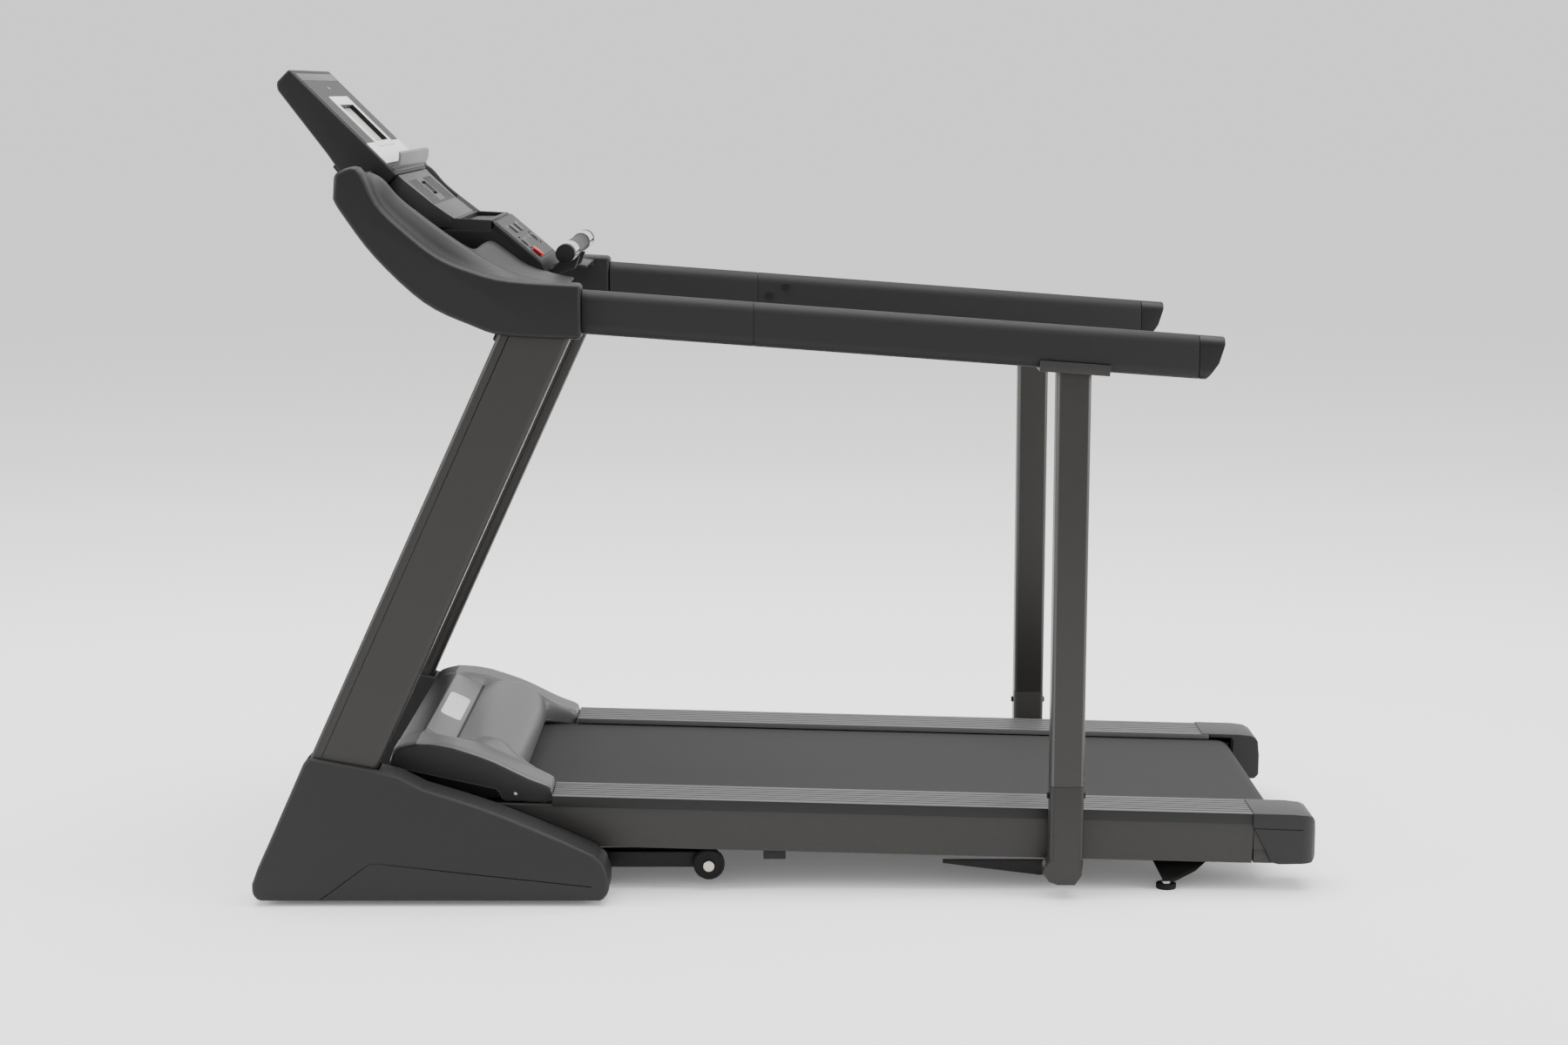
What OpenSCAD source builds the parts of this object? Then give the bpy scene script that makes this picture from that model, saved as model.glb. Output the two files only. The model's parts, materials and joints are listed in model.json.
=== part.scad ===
// Folding treadmill with long side handrails, in millimetres.
// +X runs from the console to the rear, +Z is up, and the origin is on the
// floor under the middle of the machine. Left and right are the runner's.

/* [Base] */
// Half width over the two base covers
cover_y = 444; // [430:1:460]
// Distance from the centre to the inner face of a base cover
cover_inner_y = 353; // [352:1:356]
// Wall thickness of the moulded covers
cover_wall = 3.5; // [2.5:0.5:5]
// Radius of a transport wheel
wheel_r = 28; // [24:0.5:29]

/* [Uprights] */
// Inner face of an upright, from the centre
upright_y = 360; // [359:1:364]
// Thickness of an upright across the machine
upright_w = 45; // [38:1:50]
// Depth of an upright across its face
upright_d = 116.5; // [100:0.5:125]
// Lean of the uprights from the vertical, in degrees
upright_lean = 24.7; // [20:0.1:28]

/* [Handrails] */
// Distance from the centre to the middle of a handrail
rail_y = 381; // [380:1:386]
// Width of a handrail
rail_w = 48; // [40:1:50]
// Height of a handrail
rail_h = 76; // [60:1:80]
// Fall of the handrails to the rear, in degrees
rail_fall = 4.2; // [0:0.1:6]
// Width of a rear post along the machine
post_l = 60; // [40:1:70]

/* [Deck] */
// Width of the running belt
belt_w = 506; // [504:1:508]
// Half width over the foot rails
deck_y = 350; // [345:1:350]
// Fall of the deck to the rear at rest, in degrees
deck_fall = 1.5; // [0.5:0.1:2]
// Radius of the two rollers
roller_r = 30; // [24:1:32]
// Number of grooves in each foot rail
rail_grooves = 6; // [3:1:9]

/* [Console] */
// Half width of the display housing
console_y = 205; // [180:1:230]
// Diameter of the cross grip
grip_d = 34; // [28:1:36]
// Travel of a pressed key
key_travel = 2; // [1:0.1:3]

/* [Hidden] */
$fn = 48;
fit = 0.05;
gap = 0.4;
tube_wall = 3;

// Base cover outline, side view: front toe, crown, sloping tail.
cover_toe_x = -948;
cover_tail_x = -318;
cover_floor = 9;
cover_draft = 8;
draft_z = 60;
cover_hollow_y = 409;
cover_line = concat(
    [[cover_toe_x + 10, cover_floor], [cover_toe_x, cover_floor + 12], [cover_toe_x, 39]],
    curve([[-937, 69], [-917, 113], [-886, 183], [-856, 251]], 2),
    [[-846, 263], [-834, 260], [-732, 241], [-688, 229]],
    curve([[-645, 207], [-533, 171], [-400, 117]], 2),
    [[-345, 92], [-327, 76], [cover_tail_x, 52], [cover_tail_x, 24], [-330, cover_floor]]);

// Base frame levels.
side_tube_z = [12, 52];
axle_x = -144;
axle_z = 47;
axle_r = 6;
wheel_y = 336;
wheel_w = 20;
axle_head_r = 10;
axle_head_t = 5;
tail_tube_y = [296, 326];
tail_tube_z = [38, 66];

// Hinge of the lift frame and of the fold, on the base.
fold_x = -600;
fold_z = 130;
fold_pin_r = 10;
arm_in_y = 277;
arm_out_y = 299;

// Uprights: the foot of the centre line, on the side tube.
upright_foot_x = -877;
upright_front_x = -910;

// Console arm: lower and upper edges from the socket forward.
arm_y = 357;
arm_w = 63;
socket_x = -357;
arm_low = curve([[socket_x, 1000], [-486, 1006], [-548, 1025], [-626, 1063], [-708, 1140],
    [-764, 1216], [-777, 1240]], 4);
arm_high = curve([[-774, 1282], [-735, 1292], [-703, 1232], [-657, 1186], [-602, 1143],
    [-547, 1119], [-480, 1102], [socket_x, 1094]], 4);
arm_line = concat(arm_low, arm_high);

// Display housing: face line from the top edge down to the ledge.
face_top = [-883, 1460];
face_angle = 44.8;
face_len = 262;
housing_line = [[0, 0], [face_len, 0], [face_len, -62], [190, -70], [150, -62], [8, -40], [-6, -22]];
ledge_s = 252;
// Display window: distances down the face, half widths, and depth of the recess.
frame_s = [71, 197];
frame_half = 100;
window_s = [92, 184];
window_half = 78;
window_deep = 7;

// Handrail stations along the machine.
rail_mid_z = 1045.5;
rail_x0 = socket_x + gap;
rail_seam_x = -61;
rail_cap_x = 706;
rail_tip_x = 751;

// Rear posts.
post_x = 492;
post_in_y = 358;
post_w = 45;
post_seam_z = 206;
saddle_l = 122;
saddle_t = 5;
saddle_lip = 14;
post_bar_z = [27, 54];

// Deck frame: local zero is the plane of the foot rail tops.
deck_z0 = 165;
belt_t = 2;
belt_top = -12;
belt_half = belt_w / 2;
roller_z = belt_top - belt_t - roller_r;
front_roller_x = -530;
rear_roller_x = 861;
board_t = 18;
frame_low = -92;
frame_high = -19.5;
cross_x = [-290, -20, 250, 520, 760];
side_tube_in = 306;
side_tube_out = 346;
bay_in = 268;
bay_out = 274;
bay_front = -695;
level_x = -350;
level_z = 115;
level_pin_r = 8;
crank_drop = 60;
crank_y = 262;
crank_pin_r = 5;
act_x = -560;
act_z = level_z - crank_drop;
act_y = 257;
act_r = 10.5;
rod_r = 6.5;
motor_x = -645;
motor_dz = -2;
motor_r = 42;
motor_shaft_r = 9;
flywheel_r = 44;
lever_pin_r = 6;
shaft_r = 8;
pulley_y = [-266.5, -256];
roller_pulley_r = 26;
motor_pulley_r = 15;

// Hood outline, side view: front wall, shoulders, wings.
hood_y = 333;
hood_line = concat(
    [[-715, 150], [-715, 238], [-709, 256]],
    curve([[-700, 262], [-667, 270], [-602, 262], [-538, 240], [-468, 206], [-436, 191]], 3),
    [[-430, 180], [-434, 163], [-513, 163], [-525, 184], [-700, 223], [-700, 150]]);
hood_in_y = 262;
badge_half = 88;
dome_line = concat(
    [[-715, 150], [-715, 236], [-709, 254], [-696, 264], [-680, 270], [-663, 271], [-609, 245]],
    curve([[-604, 247], [-565, 257], [-525, 250], [-497, 226], [-486, 196]], 3),
    [[-486, 178], [-490, 178]],
    curve([[-492, 196], [-502, 222], [-528, 243], [-565, 250], [-604, 240]], 3),
    [[-663, 264], [-696, 256], [-711, 236], [-711, 150]]);

// ---- helpers ----

// A point at t on the smooth curve between p1 and p2.
function blend_point(p0, p1, p2, p3, t) = 0.5 * (2 * p1 + (p2 - p0) * t
    + (2 * p0 - 5 * p1 + 4 * p2 - p3) * t * t + (3 * p1 - p0 - 3 * p2 + p3) * t * t * t);
// A smooth curve through the points p, with n steps between neighbours.
function curve(p, n) = concat([for (i = [0 : len(p) - 2]) for (j = [0 : n - 1])
    blend_point(p[max(i - 1, 0)], p[i], p[i + 1], p[min(i + 2, len(p) - 1)], j / n)],
    [p[len(p) - 1]]);
// Height of the handrail's centre line at x.
function rail_z(x) = rail_mid_z - (x - socket_x) * tan(rail_fall);
// Height of a point z above the deck's top plane, at x.
function deck_z(x, z) = deck_z0 - x * tan(deck_fall) + z;

// A rectangle with round corners, centred.
module round_rect(w, h, r) {
    square([w - 2 * r, h], center = true);
    square([w, h - 2 * r], center = true);
    for (x = [-1, 1], y = [-1, 1]) translate([x * (w / 2 - r), y * (h / 2 - r)]) circle(r);
}
// A side-view outline made solid from y0 to y1.
module slab(points, y0, y1) {
    translate([0, y1, 0]) rotate([90, 0, 0]) linear_extrude(y1 - y0) polygon(points);
}
// A cylinder across the machine, from y0 to y1.
module cross_rod(x, z, r, y0, y1) {
    translate([x, y1, z]) rotate([90, 0, 0]) cylinder(r = r, h = y1 - y0);
}
// A box given by its ranges.
module span(x, y, z) {
    translate([x[0], y[0], z[0]]) cube([x[1] - x[0], y[1] - y[0], z[1] - z[0]]);
}
module left() { mirror([0, 1, 0]) children(); }
module both() { children(); left() children(); }
// Places children in the deck's own tilted frame.
module on_deck() { translate([0, 0, deck_z0]) rotate([0, deck_fall, 0]) children(); }
// Places children on the display face: X down the face, Z out of it.
module on_face() {
    translate([face_top[0], 0, face_top[1]]) rotate([0, face_angle, 0]) children();
}
// Places children on the control panel: X down the panel, Z out of it.
panel_top = [-533, 1192];
panel_angle = 40.5;
module on_panel() {
    translate([panel_top[0], 0, panel_top[1]]) rotate([0, panel_angle, 0]) children();
}

// ---- base ----

module base_frame() color("dimgray") {
    both() {
        span([-905, -330], [upright_y, upright_y + 40], side_tube_z);
        span([-455, axle_x - 20], tail_tube_y, tail_tube_z);
        difference() {
            span([axle_x - 20.01, axle_x + 14], [tail_tube_y[0], tail_tube_y[0] + 12], tail_tube_z);
            cross_rod(axle_x, axle_z, axle_r, 280, 330);
        }
        // Hinge stanchion and the pin that carries the lift frame.
        difference() {
            span([fold_x - 45, fold_x + 45], [upright_y + 2, upright_y + 12], [51, fold_z + 22]);
            cross_rod(fold_x, fold_z, fold_pin_r, upright_y, upright_y + 20);
        }
        cross_rod(fold_x, fold_z, fold_pin_r, arm_in_y, upright_y + 12);
        span([-455, -410], [tail_tube_y[0], upright_y + 1], [12, 40]);
    }
    span([-905, -865], [-upright_y - 1, upright_y + 1], [14, 50]);
    span([-455, -410], [-tail_tube_y[0] - 1, tail_tube_y[0] + 1], [12, 34]);
}

module cover_shell() {
    difference() {
        slab(cover_line, cover_inner_y, cover_y);
        // Draft of the outer face, from the toe up to the rim.
        translate([-1000, cover_y, draft_z]) rotate([cover_draft, 0, 0]) cube([800, 80, 400]);
        translate([0, cover_hollow_y, 0]) rotate([90, 0, 0])
            linear_extrude(cover_hollow_y - cover_inner_y - cover_wall)
                difference() {
                    offset(delta = -cover_wall) polygon(cover_line);
                    translate([-1000, -40]) square([800, 40]);
                }
        span([-912, -325], [cover_inner_y + cover_wall, cover_hollow_y], [0, 54]);
        upright_bar(2, side_tube_z[1] + 60);
        span([-657, -480], [cover_inner_y - 1, cover_inner_y + cover_wall + 1], [30, 158]);
        span([-457, -408], [cover_inner_y - 1, cover_inner_y + cover_wall + 1], [0, 42]);
        span([-907, -863], [cover_inner_y - 1, cover_inner_y + cover_wall + 1], [0, 52]);
    }
}
module base_cover_right() color([0.2, 0.19, 0.2]) cover_shell();
module base_cover_left() color([0.2, 0.19, 0.2]) left() cover_shell();

module base_pads() color([0.06, 0.06, 0.06]) both() for (x = [-870, -372])
    translate([x, upright_y + 20, 0]) cylinder(r = 17, h = side_tube_z[0]);

// ---- uprights ----

// A leaning bar of the upright's section, shrunk or grown on every side.
module upright_bar(grow, low) {
    intersection() {
        translate([upright_foot_x, upright_y + upright_w / 2, side_tube_z[1]])
            rotate([0, upright_lean, 0]) translate([0, 0, -200]) linear_extrude(1500)
                round_rect(upright_d + 2 * grow, upright_w + 2 * grow, 10 + grow);
        span([upright_front_x, 200], [300, 500], [low, 1200]);
    }
}
module upright() difference() {
    upright_bar(0, side_tube_z[1]);
    upright_bar(-tube_wall, side_tube_z[1] - 5);
    slab(concat(arm_low, [[-777, 1300], [socket_x + 100, 1300], [socket_x + 100, 1000]]), 300, 500);
}
module upright_right() color([0.32, 0.31, 0.3]) upright();
module upright_left() color([0.32, 0.31, 0.3]) left() upright();

// ---- console ----

module arm_right() color([0.15, 0.15, 0.16]) slab(arm_line, arm_y, arm_y + arm_w);
module arm_left() color([0.15, 0.15, 0.16]) left() slab(arm_line, arm_y, arm_y + arm_w);

// Steel and moulded cross member between the two arms, below the display.
beam_line = [[-768, 1236], [-742, 1284], [-700, 1225], [-668, 1178], [-660, 1140], [-676, 1122],
    [-708, 1158], [-745, 1205]];
module console_beam() color([0.13, 0.13, 0.14])
    slab(beam_line, -arm_y, arm_y);

// Trays between the centre console and the arms: a well, then a slope to the rear,
// with a raised bolster beside the arm.
centre_y = 156;
bolster_y = 330;
tray_line = [[-659, 1177], [-650, 1177], [-642, 1126], [-572, 1120], [-551, 1160], [-541, 1163],
    [-480, 1112], [-430, 1096], [-386, 1088], [-386, 1080], [-434, 1086], [-484, 1101],
    [-545, 1148], [-562, 1111], [-648, 1116], [-656, 1124]];
bolster_line = concat([[-738, 1286], [-706, 1275]],
    curve([[-675, 1239], [-627, 1200], [-576, 1163], [-520, 1128], [-462, 1102]], 2),
    [[-462, 1088], [-545, 1100], [-600, 1118], [-640, 1140], [-655, 1180], [-690, 1216]]);
module side_trays() color([0.45, 0.45, 0.46]) both() {
    slab(tray_line, centre_y + gap, arm_y - gap);
    slab(bolster_line, bolster_y, arm_y - gap);
}

module console_housing() color([0.12, 0.12, 0.13]) difference() {
    union() {
        on_face() translate([0, console_y, 0]) rotate([90, 0, 0])
            linear_extrude(2 * console_y) polygon(housing_line);
        slab([[-812, 1289], [-771, 1238], [-742, 1240], [-750, 1320]], -console_y, console_y);
    }
    slab(beam_line, -console_y - 1, console_y + 1);
    on_face() span([12, 236], [-console_y + 10, console_y - 10], [-1.5, 2]);
    on_face() span([frame_s[0], frame_s[1]], [-frame_half, frame_half], [-window_deep - 2, 2]);
}
module console_face() color([0.5, 0.5, 0.51]) on_face() difference() {
    span([12.2, 235.8], [-console_y + 10.2, console_y - 10.2], [-1.3, 0.7]);
    span([frame_s[0] - 0.2, frame_s[1] + 0.2], [-frame_half - 0.2, frame_half + 0.2], [-3, 3]);
}
module display_frame() color([0.75, 0.75, 0.76]) on_face() difference() {
    span([frame_s[0] + 0.2, frame_s[1] - 0.2], [0.2 - frame_half, frame_half - 0.2],
        [-window_deep, 2.2]);
    span(window_s, [-window_half, window_half], [-window_deep - 1, 3]);
}
module display_screen() color([0.7, 0.72, 0.7]) on_face()
    span([frame_s[0] + 0.4, frame_s[1] - 0.4], [0.4 - frame_half, frame_half - 0.4],
        [-window_deep - 1.8, -window_deep - 0.2]);

module book_ledge() color([0.55, 0.55, 0.56]) on_face() translate([0, 188, 0]) rotate([90, 0, 0])
    linear_extrude(376) polygon([[ledge_s - 4, 0.2], [ledge_s + 4, 0.2], [ledge_s + 1, 17],
        [ledge_s - 7, 30], [ledge_s - 10, 29], [ledge_s - 5, 16]]);

// Sloping centre apron from the ledge down to the control panel, with a vent.
ramp_line = [[-696.5, 1273], [-688, 1264], [-640, 1222], [-601, 1194], [-534, 1190],
    [-534, 1176], [-600, 1178], [-655, 1180], [-699, 1227], [-718, 1252]];
ramp_top_y = 198;
module console_ramp() color([0.6, 0.6, 0.61]) difference() {
    slab(ramp_line, -ramp_top_y, ramp_top_y);
    both() translate([0, 0, 1100]) linear_extrude(300) polygon([[-760, ramp_top_y],
        [-700, ramp_top_y - 1], [-650, 172], [-600, centre_y - 0.5], [-500, centre_y - 0.5],
        [-500, 250], [-760, 250]]);
    for (i = [0 : 3]) slab([[-672 + i * 7, 1262 - i * 6.2], [-669 + i * 7, 1259.4 - i * 6.2],
        [-675 + i * 7, 1238 - i * 6.2], [-678 + i * 7, 1240 - i * 6.2]], -22, 22);
}

module control_panel() color([0.2, 0.2, 0.21]) difference() {
    slab([[-533.6, 1191.6], [-447, 1118], [-436, 1098], [-446, 1082], [-540, 1096], [-602, 1146],
        [-656, 1176], [-598, 1177], [-533.6, 1175]], -centre_y, centre_y);
    on_panel() {
        for (k = key_slots) translate([k[0], k[1], -6]) linear_extrude(8)
            square([k[2] + 2 * gap, k[3] + 2 * gap], center = true);
        translate([96, -96, -8]) cylinder(r = 9 + gap, h = 12);
    }
}

// Key places on the panel: distance down, across, size down, size across.
key_slots = [[34, 40, 20, 30], [34, -40, 20, 30], [68, -95, 30, 22], [68, 95, 30, 22]];
key_top = 2.6;
key_corner = 4;
// How much a rocker key is shorter and narrower than its place, to clear the panel when tilted.
rocker_short = 4;
rocker_slim = 0.6;
rocker_r = 25;
module key_cap(k) {
    on_panel() translate([k[0], k[1], -6 + key_travel + gap]) linear_extrude(6 + key_top - key_travel)
        round_rect(k[2], k[3], key_corner);
}
module start_key() color("gainsboro") key_cap(key_slots[0]);
module stop_key() color("gainsboro") key_cap(key_slots[1]);
module rocker_key(k) {
    on_panel() intersection() {
        translate([k[0], k[1] + k[3] / 2, 3 - rocker_r]) rotate([90, 0, 0])
            cylinder(r = rocker_r, h = k[3]);
        translate([k[0], k[1], -4]) linear_extrude(12)
            round_rect(k[2] - rocker_short, k[3] - rocker_slim, key_corner);
    }
}
module speed_key() color("gainsboro") rocker_key(key_slots[2]);
module incline_key() color("gainsboro") rocker_key(key_slots[3]);
module safety_key() color("crimson") on_panel() translate([96, -96, -7.5]) {
    cylinder(r = 9, h = 10);
    translate([0, 0, 9.9]) cylinder(r = 12.5, h = 4);
}

// Cross grip with pulse sensors, on two short stalks from the panel.
grip_x = -396;
grip_z = 1137;
grip_y = 250;
module pulse_bar() color([0.1, 0.1, 0.1]) {
    both() {
        cross_rod(grip_x, grip_z, grip_d / 2, 110, 132);
        cross_rod(grip_x, grip_z, grip_d / 2 - 1.5, 131.9, 218.1);
        cross_rod(grip_x, grip_z, grip_d / 2, 218, grip_y);
        slab([[-437, 1096.4], [-408, 1124], [-396, 1121], [-384, 1122], [-392, 1100],
            [-444.6, 1084.2]], 60, 84);
    }
    cross_rod(grip_x, grip_z, grip_d / 2 - 1, -110.1, 110.1);
}
module pulse_plates() color([0.85, 0.86, 0.87]) both() difference() {
    cross_rod(grip_x, grip_z, grip_d / 2, 132.2, 217.8);
    cross_rod(grip_x, grip_z, grip_d / 2 - 1.45, 130, 220);
    span([grip_x - 30, grip_x + 30], [130, 220], [grip_z - 2, grip_z + 2]);
}

// ---- handrails and rear posts ----

// A length of handrail between two stations, with square ends.
module rail_length(x0, x1, w, h) {
    translate([x0, rail_y, rail_z(x0)]) rotate([0, 90 + rail_fall, 0])
        linear_extrude((x1 - x0) / cos(rail_fall)) round_rect(h, w, w / 2 - 4);
}
module rail_bar(x0, x1) intersection() {
    rail_length(x0 - 20, x1 + 20, rail_w, rail_h);
    span([x0, x1], [300, 460], [800, 1200]);
}
module handrail_right() color([0.2, 0.2, 0.2]) rail_bar(rail_x0, rail_seam_x - 0.3);
module handrail_left() color([0.2, 0.2, 0.2]) left() rail_bar(rail_x0, rail_seam_x - 0.3);
module rail_extension_right() color([0.19, 0.19, 0.19]) rail_bar(rail_seam_x, rail_cap_x);
module rail_extension_left() color([0.19, 0.19, 0.19]) left() rail_bar(rail_seam_x, rail_cap_x);
module handrail_caps() color([0.14, 0.14, 0.14]) both() intersection() {
    rail_length(rail_cap_x - 20, rail_tip_x + 20, rail_w, rail_h);
    slab([[rail_cap_x + 0.3, 900], [rail_cap_x + 0.3, 1030], [rail_tip_x + 2, 1030],
        [rail_tip_x, 990], [rail_tip_x - 10, 958], [rail_tip_x - 32, 926], [rail_tip_x - 36, 900]],
        300, 460);
}

// Places children at the rail's underside over the post, along the rail's slope.
module at_saddle() {
    translate([post_x, rail_y, rail_z(post_x) - rail_h / 2]) rotate([0, rail_fall, 0]) children();
}
// Saddle: a channel under the rail that the post is bolted to.
module post_saddles() color([0.35, 0.35, 0.34]) both() difference() {
    at_saddle() span([-saddle_l / 2, saddle_l / 2], [-28, 28], [-saddle_t, saddle_lip]);
    rail_length(post_x - 100, post_x + 100, rail_w + 2 * fit, rail_h + 2 * fit);
}
module post_tube(z0, z1) difference() {
    translate([post_x, post_in_y + post_w / 2, z0]) linear_extrude(z1 - z0)
        round_rect(post_l, post_w, 8);
    translate([post_x, post_in_y + post_w / 2, z0 - 1]) linear_extrude(z1 - z0 + 2)
        round_rect(post_l - 2 * tube_wall, post_w - 2 * tube_wall, 5);
}
module post() difference() {
    post_tube(post_seam_z + 0.3, rail_z(post_x));
    at_saddle() span([-80, 80], [-60, 60], [-saddle_t, 100]);
}
module post_right() color([0.32, 0.31, 0.3]) post();
module post_left() color([0.32, 0.31, 0.3]) left() post();

// Feet of the posts, joined under the deck by a low cross bar.
module post_foot_bar() color([0.3, 0.29, 0.28]) {
    both() {
        translate([post_x, post_in_y + post_w / 2, 70]) linear_extrude(post_seam_z - 70)
            round_rect(post_l, post_w, 8);
        slab([[post_x - 30, 71], [post_x - 42, 50], [post_x - 30, 33], [post_x - 14, post_bar_z[0]],
            [post_x + 16, post_bar_z[0]], [post_x + 28, 45], [post_x + 30, 71]],
            post_in_y, post_in_y + post_w);
        slab([[post_x - 215, 48], [post_x - 215, 54], [post_x - 13, 54], [post_x - 13, 30],
            [post_x - 40, 26]], 330, 336);
    }
    span([post_x - 14, post_x + 16], [-post_in_y - 1, post_in_y + 1], post_bar_z);
}

// ---- fasteners of the fixed frame ----

module frame_bolts() color([0.12, 0.12, 0.12]) both() {
    // Wheel axle bolts with their nuts.
    cross_rod(axle_x, axle_z, axle_r - fit, tail_tube_y[0], wheel_y + wheel_w / 2 + 1);
    cross_rod(axle_x, axle_z, axle_head_r, wheel_y + wheel_w / 2 + 1,
        wheel_y + wheel_w / 2 + 1 + axle_head_t);
    // Joint screws of the handrail seam, on the inner face.
    for (p = [[-39, -6], [-6, 15]])
        cross_rod(p[0], rail_z(p[0]) + p[1], 7, rail_y - rail_w / 2 - 3.5, rail_y - rail_w / 2 - 0.1);
    // Screws at the foot joints of the posts.
    for (s = [-1, 1]) translate([post_x + s * (post_l / 2 + 0.1), post_in_y + post_w / 2, 186])
        rotate([0, s * 90, 0]) cylinder(r = 6, h = 4);
}

module power_inlet() color([0.05, 0.05, 0.05]) {
    span([-930, -905.2], [190, 240], [18, 48]);
    span([-934, -930], [186, 244], [15, 51]);
}
module power_switch() color([0.1, 0.1, 0.1])
    translate([-911.6, 0, 0]) intersection() {
        cross_rod(-10, 33, 16, 262, 282);
        span([-20, 24], [262, 282], [21, 45]);
    }

module wheel() color([0.07, 0.07, 0.07]) difference() {
    translate([axle_x, wheel_y + wheel_w / 2, axle_z]) rotate([90, 0, 0]) rotate_extrude($fn = 64)
        polygon([[axle_r + fit, 0.5], [17, 0.5], [17, 2], [24, 2], [wheel_r - 4, 0],
            [wheel_r, 5], [wheel_r, wheel_w - 5], [wheel_r - 4, wheel_w], [24, wheel_w - 2],
            [17, wheel_w - 2], [17, wheel_w - 0.5], [axle_r + fit, wheel_w - 0.5]]);
}
module transport_wheel_right() wheel();
module transport_wheel_left() left() wheel();

// ---- lift frame ----

module lift_sleeves() color("silver") both() difference() {
    cross_rod(fold_x, fold_z, 14, arm_out_y + 0.5, cover_inner_y + 8);
    cross_rod(fold_x, fold_z, fold_pin_r + fit, 280, 380);
}
lift_arm_line = [[fold_x, fold_z - 18], [-575, 100], [level_x, level_z - 15], [level_x, level_z + 13],
    [-470, level_z + 12], [fold_x, fold_z + 10]];
module lift_frame() color([0.25, 0.25, 0.25]) {
    both() difference() {
        union() {
            cross_rod(fold_x, fold_z, 20, arm_in_y, arm_out_y);
            cross_rod(level_x, level_z, 16, arm_in_y, arm_out_y);
            slab(lift_arm_line, arm_in_y, arm_out_y);
        }
        cross_rod(fold_x, fold_z, fold_pin_r + fit, 200, 340);
        cross_rod(level_x, level_z, level_pin_r + fit, arm_in_y + 4, 340);
    }
    cross_rod(level_x, level_z, 10, -arm_in_y - 1, arm_in_y + 1);
    // Crank of the actuator, on the cross tube beside the right arm.
    slab([[level_x - 14, level_z - 2], [level_x + 14, level_z - 2],
        [level_x + 10, act_z - 9], [level_x - 10, act_z - 9]], crank_y, crank_y + 6);
    cross_rod(level_x, act_z, crank_pin_r, act_y - 6, crank_y + 1);
}

// ---- deck ----

module deck_frame() color([0.33, 0.32, 0.31]) {
    on_deck() both() {
        difference() {
            span([-556, 834], [side_tube_in, side_tube_out], [frame_low, frame_high]);
            span([-557, 835], [side_tube_in + 4, side_tube_out - 4], [frame_low + 4, frame_high - 4]);
        }
        // Motor bay side plates and the gussets that tie them to the side tubes.
        difference() {
            span([bay_front, -380], [bay_in, bay_out], [frame_low, frame_high]);
            cross_rod(front_roller_x, roller_z, shaft_r, 200, 300);
        }
        span([-554, -400], [bay_out - 1, side_tube_in + 1], [-34, frame_high]);
        // Rear roller blocks.
        difference() {
            span([830, 890], [bay_in + 2, side_tube_out - 4], [-66, -20]);
            cross_rod(rear_roller_x, roller_z, shaft_r, 200, 400);
        }
        // Brackets of the rear feet.
        slab([[655, frame_low + 2], [757, frame_low + 2], [735, frame_low - 20],
            [700, frame_low - 40], [678, frame_low - 40]], 318, 338);
    }
    on_deck() {
        for (x = cross_x)
            span([x - 20, x + 20], [-side_tube_in - 1, side_tube_in + 1], [-71, -52]);
        span([bay_front, bay_front + 12], [-bay_in - 1, bay_in + 1], [frame_low, -40]);
        span([bay_front, -585], [-bay_in - 1, bay_in + 1], [frame_low, frame_low + 6]);
    }
    // Pins that carry the deck on the lift frame, and the actuator's ear.
    both() cross_rod(level_x, level_z, level_pin_r, arm_in_y + 5, side_tube_in + 5);
    span([act_x - 14, act_x + 14], [bay_in, bay_out], [act_z - 12, deck_z(act_x, frame_low) + 5]);
    cross_rod(act_x, act_z, lever_pin_r, act_y - 9, bay_in + 1);
}

module running_board() color([0.2, 0.18, 0.17]) on_deck()
    span([-492, 815], [-belt_half, belt_half],
        [belt_top - belt_t - board_t - 0.3, belt_top - belt_t - 0.3]);

module deck_cushions() color([0.05, 0.05, 0.05]) on_deck() both()
    for (x = cross_x) translate([x, 200, -51.9]) cylinder(r = 14, h = 17.5);

module belt_outline(r) {
    for (x = [front_roller_x, rear_roller_x]) translate([x, roller_z]) circle(r, $fn = 64);
    translate([front_roller_x, roller_z - r]) square([rear_roller_x - front_roller_x, 2 * r]);
}
module running_belt() color([0.12, 0.12, 0.12]) on_deck()
    translate([0, belt_half, 0]) rotate([90, 0, 0]) linear_extrude(belt_w) difference() {
        belt_outline(roller_r + belt_t);
        belt_outline(roller_r + gap);
    }

// Ribbed foot rail: a moulded strip with lengthwise grooves and an outer lip.
module side_rail() {
    groove = (deck_y - 8 - 258) / rail_grooves;
    on_deck() difference() {
        union() {
            span([-424, 846], [250, deck_y], [-9.5, 0]);
            span([-424, 846], [side_tube_in - 20, deck_y], [-19, -9]);
            span([-424, 846], [deck_y - 3.5, deck_y], [-19.2, -9]);
        }
        for (i = [0 : rail_grooves - 1])
            span([-430, 850], [262 + i * groove, 262 + i * groove + 4], [-1.6, 1]);
    }
}
module side_rail_right() color([0.5, 0.5, 0.5]) side_rail();
module side_rail_left() color([0.5, 0.5, 0.5]) left() side_rail();

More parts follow.
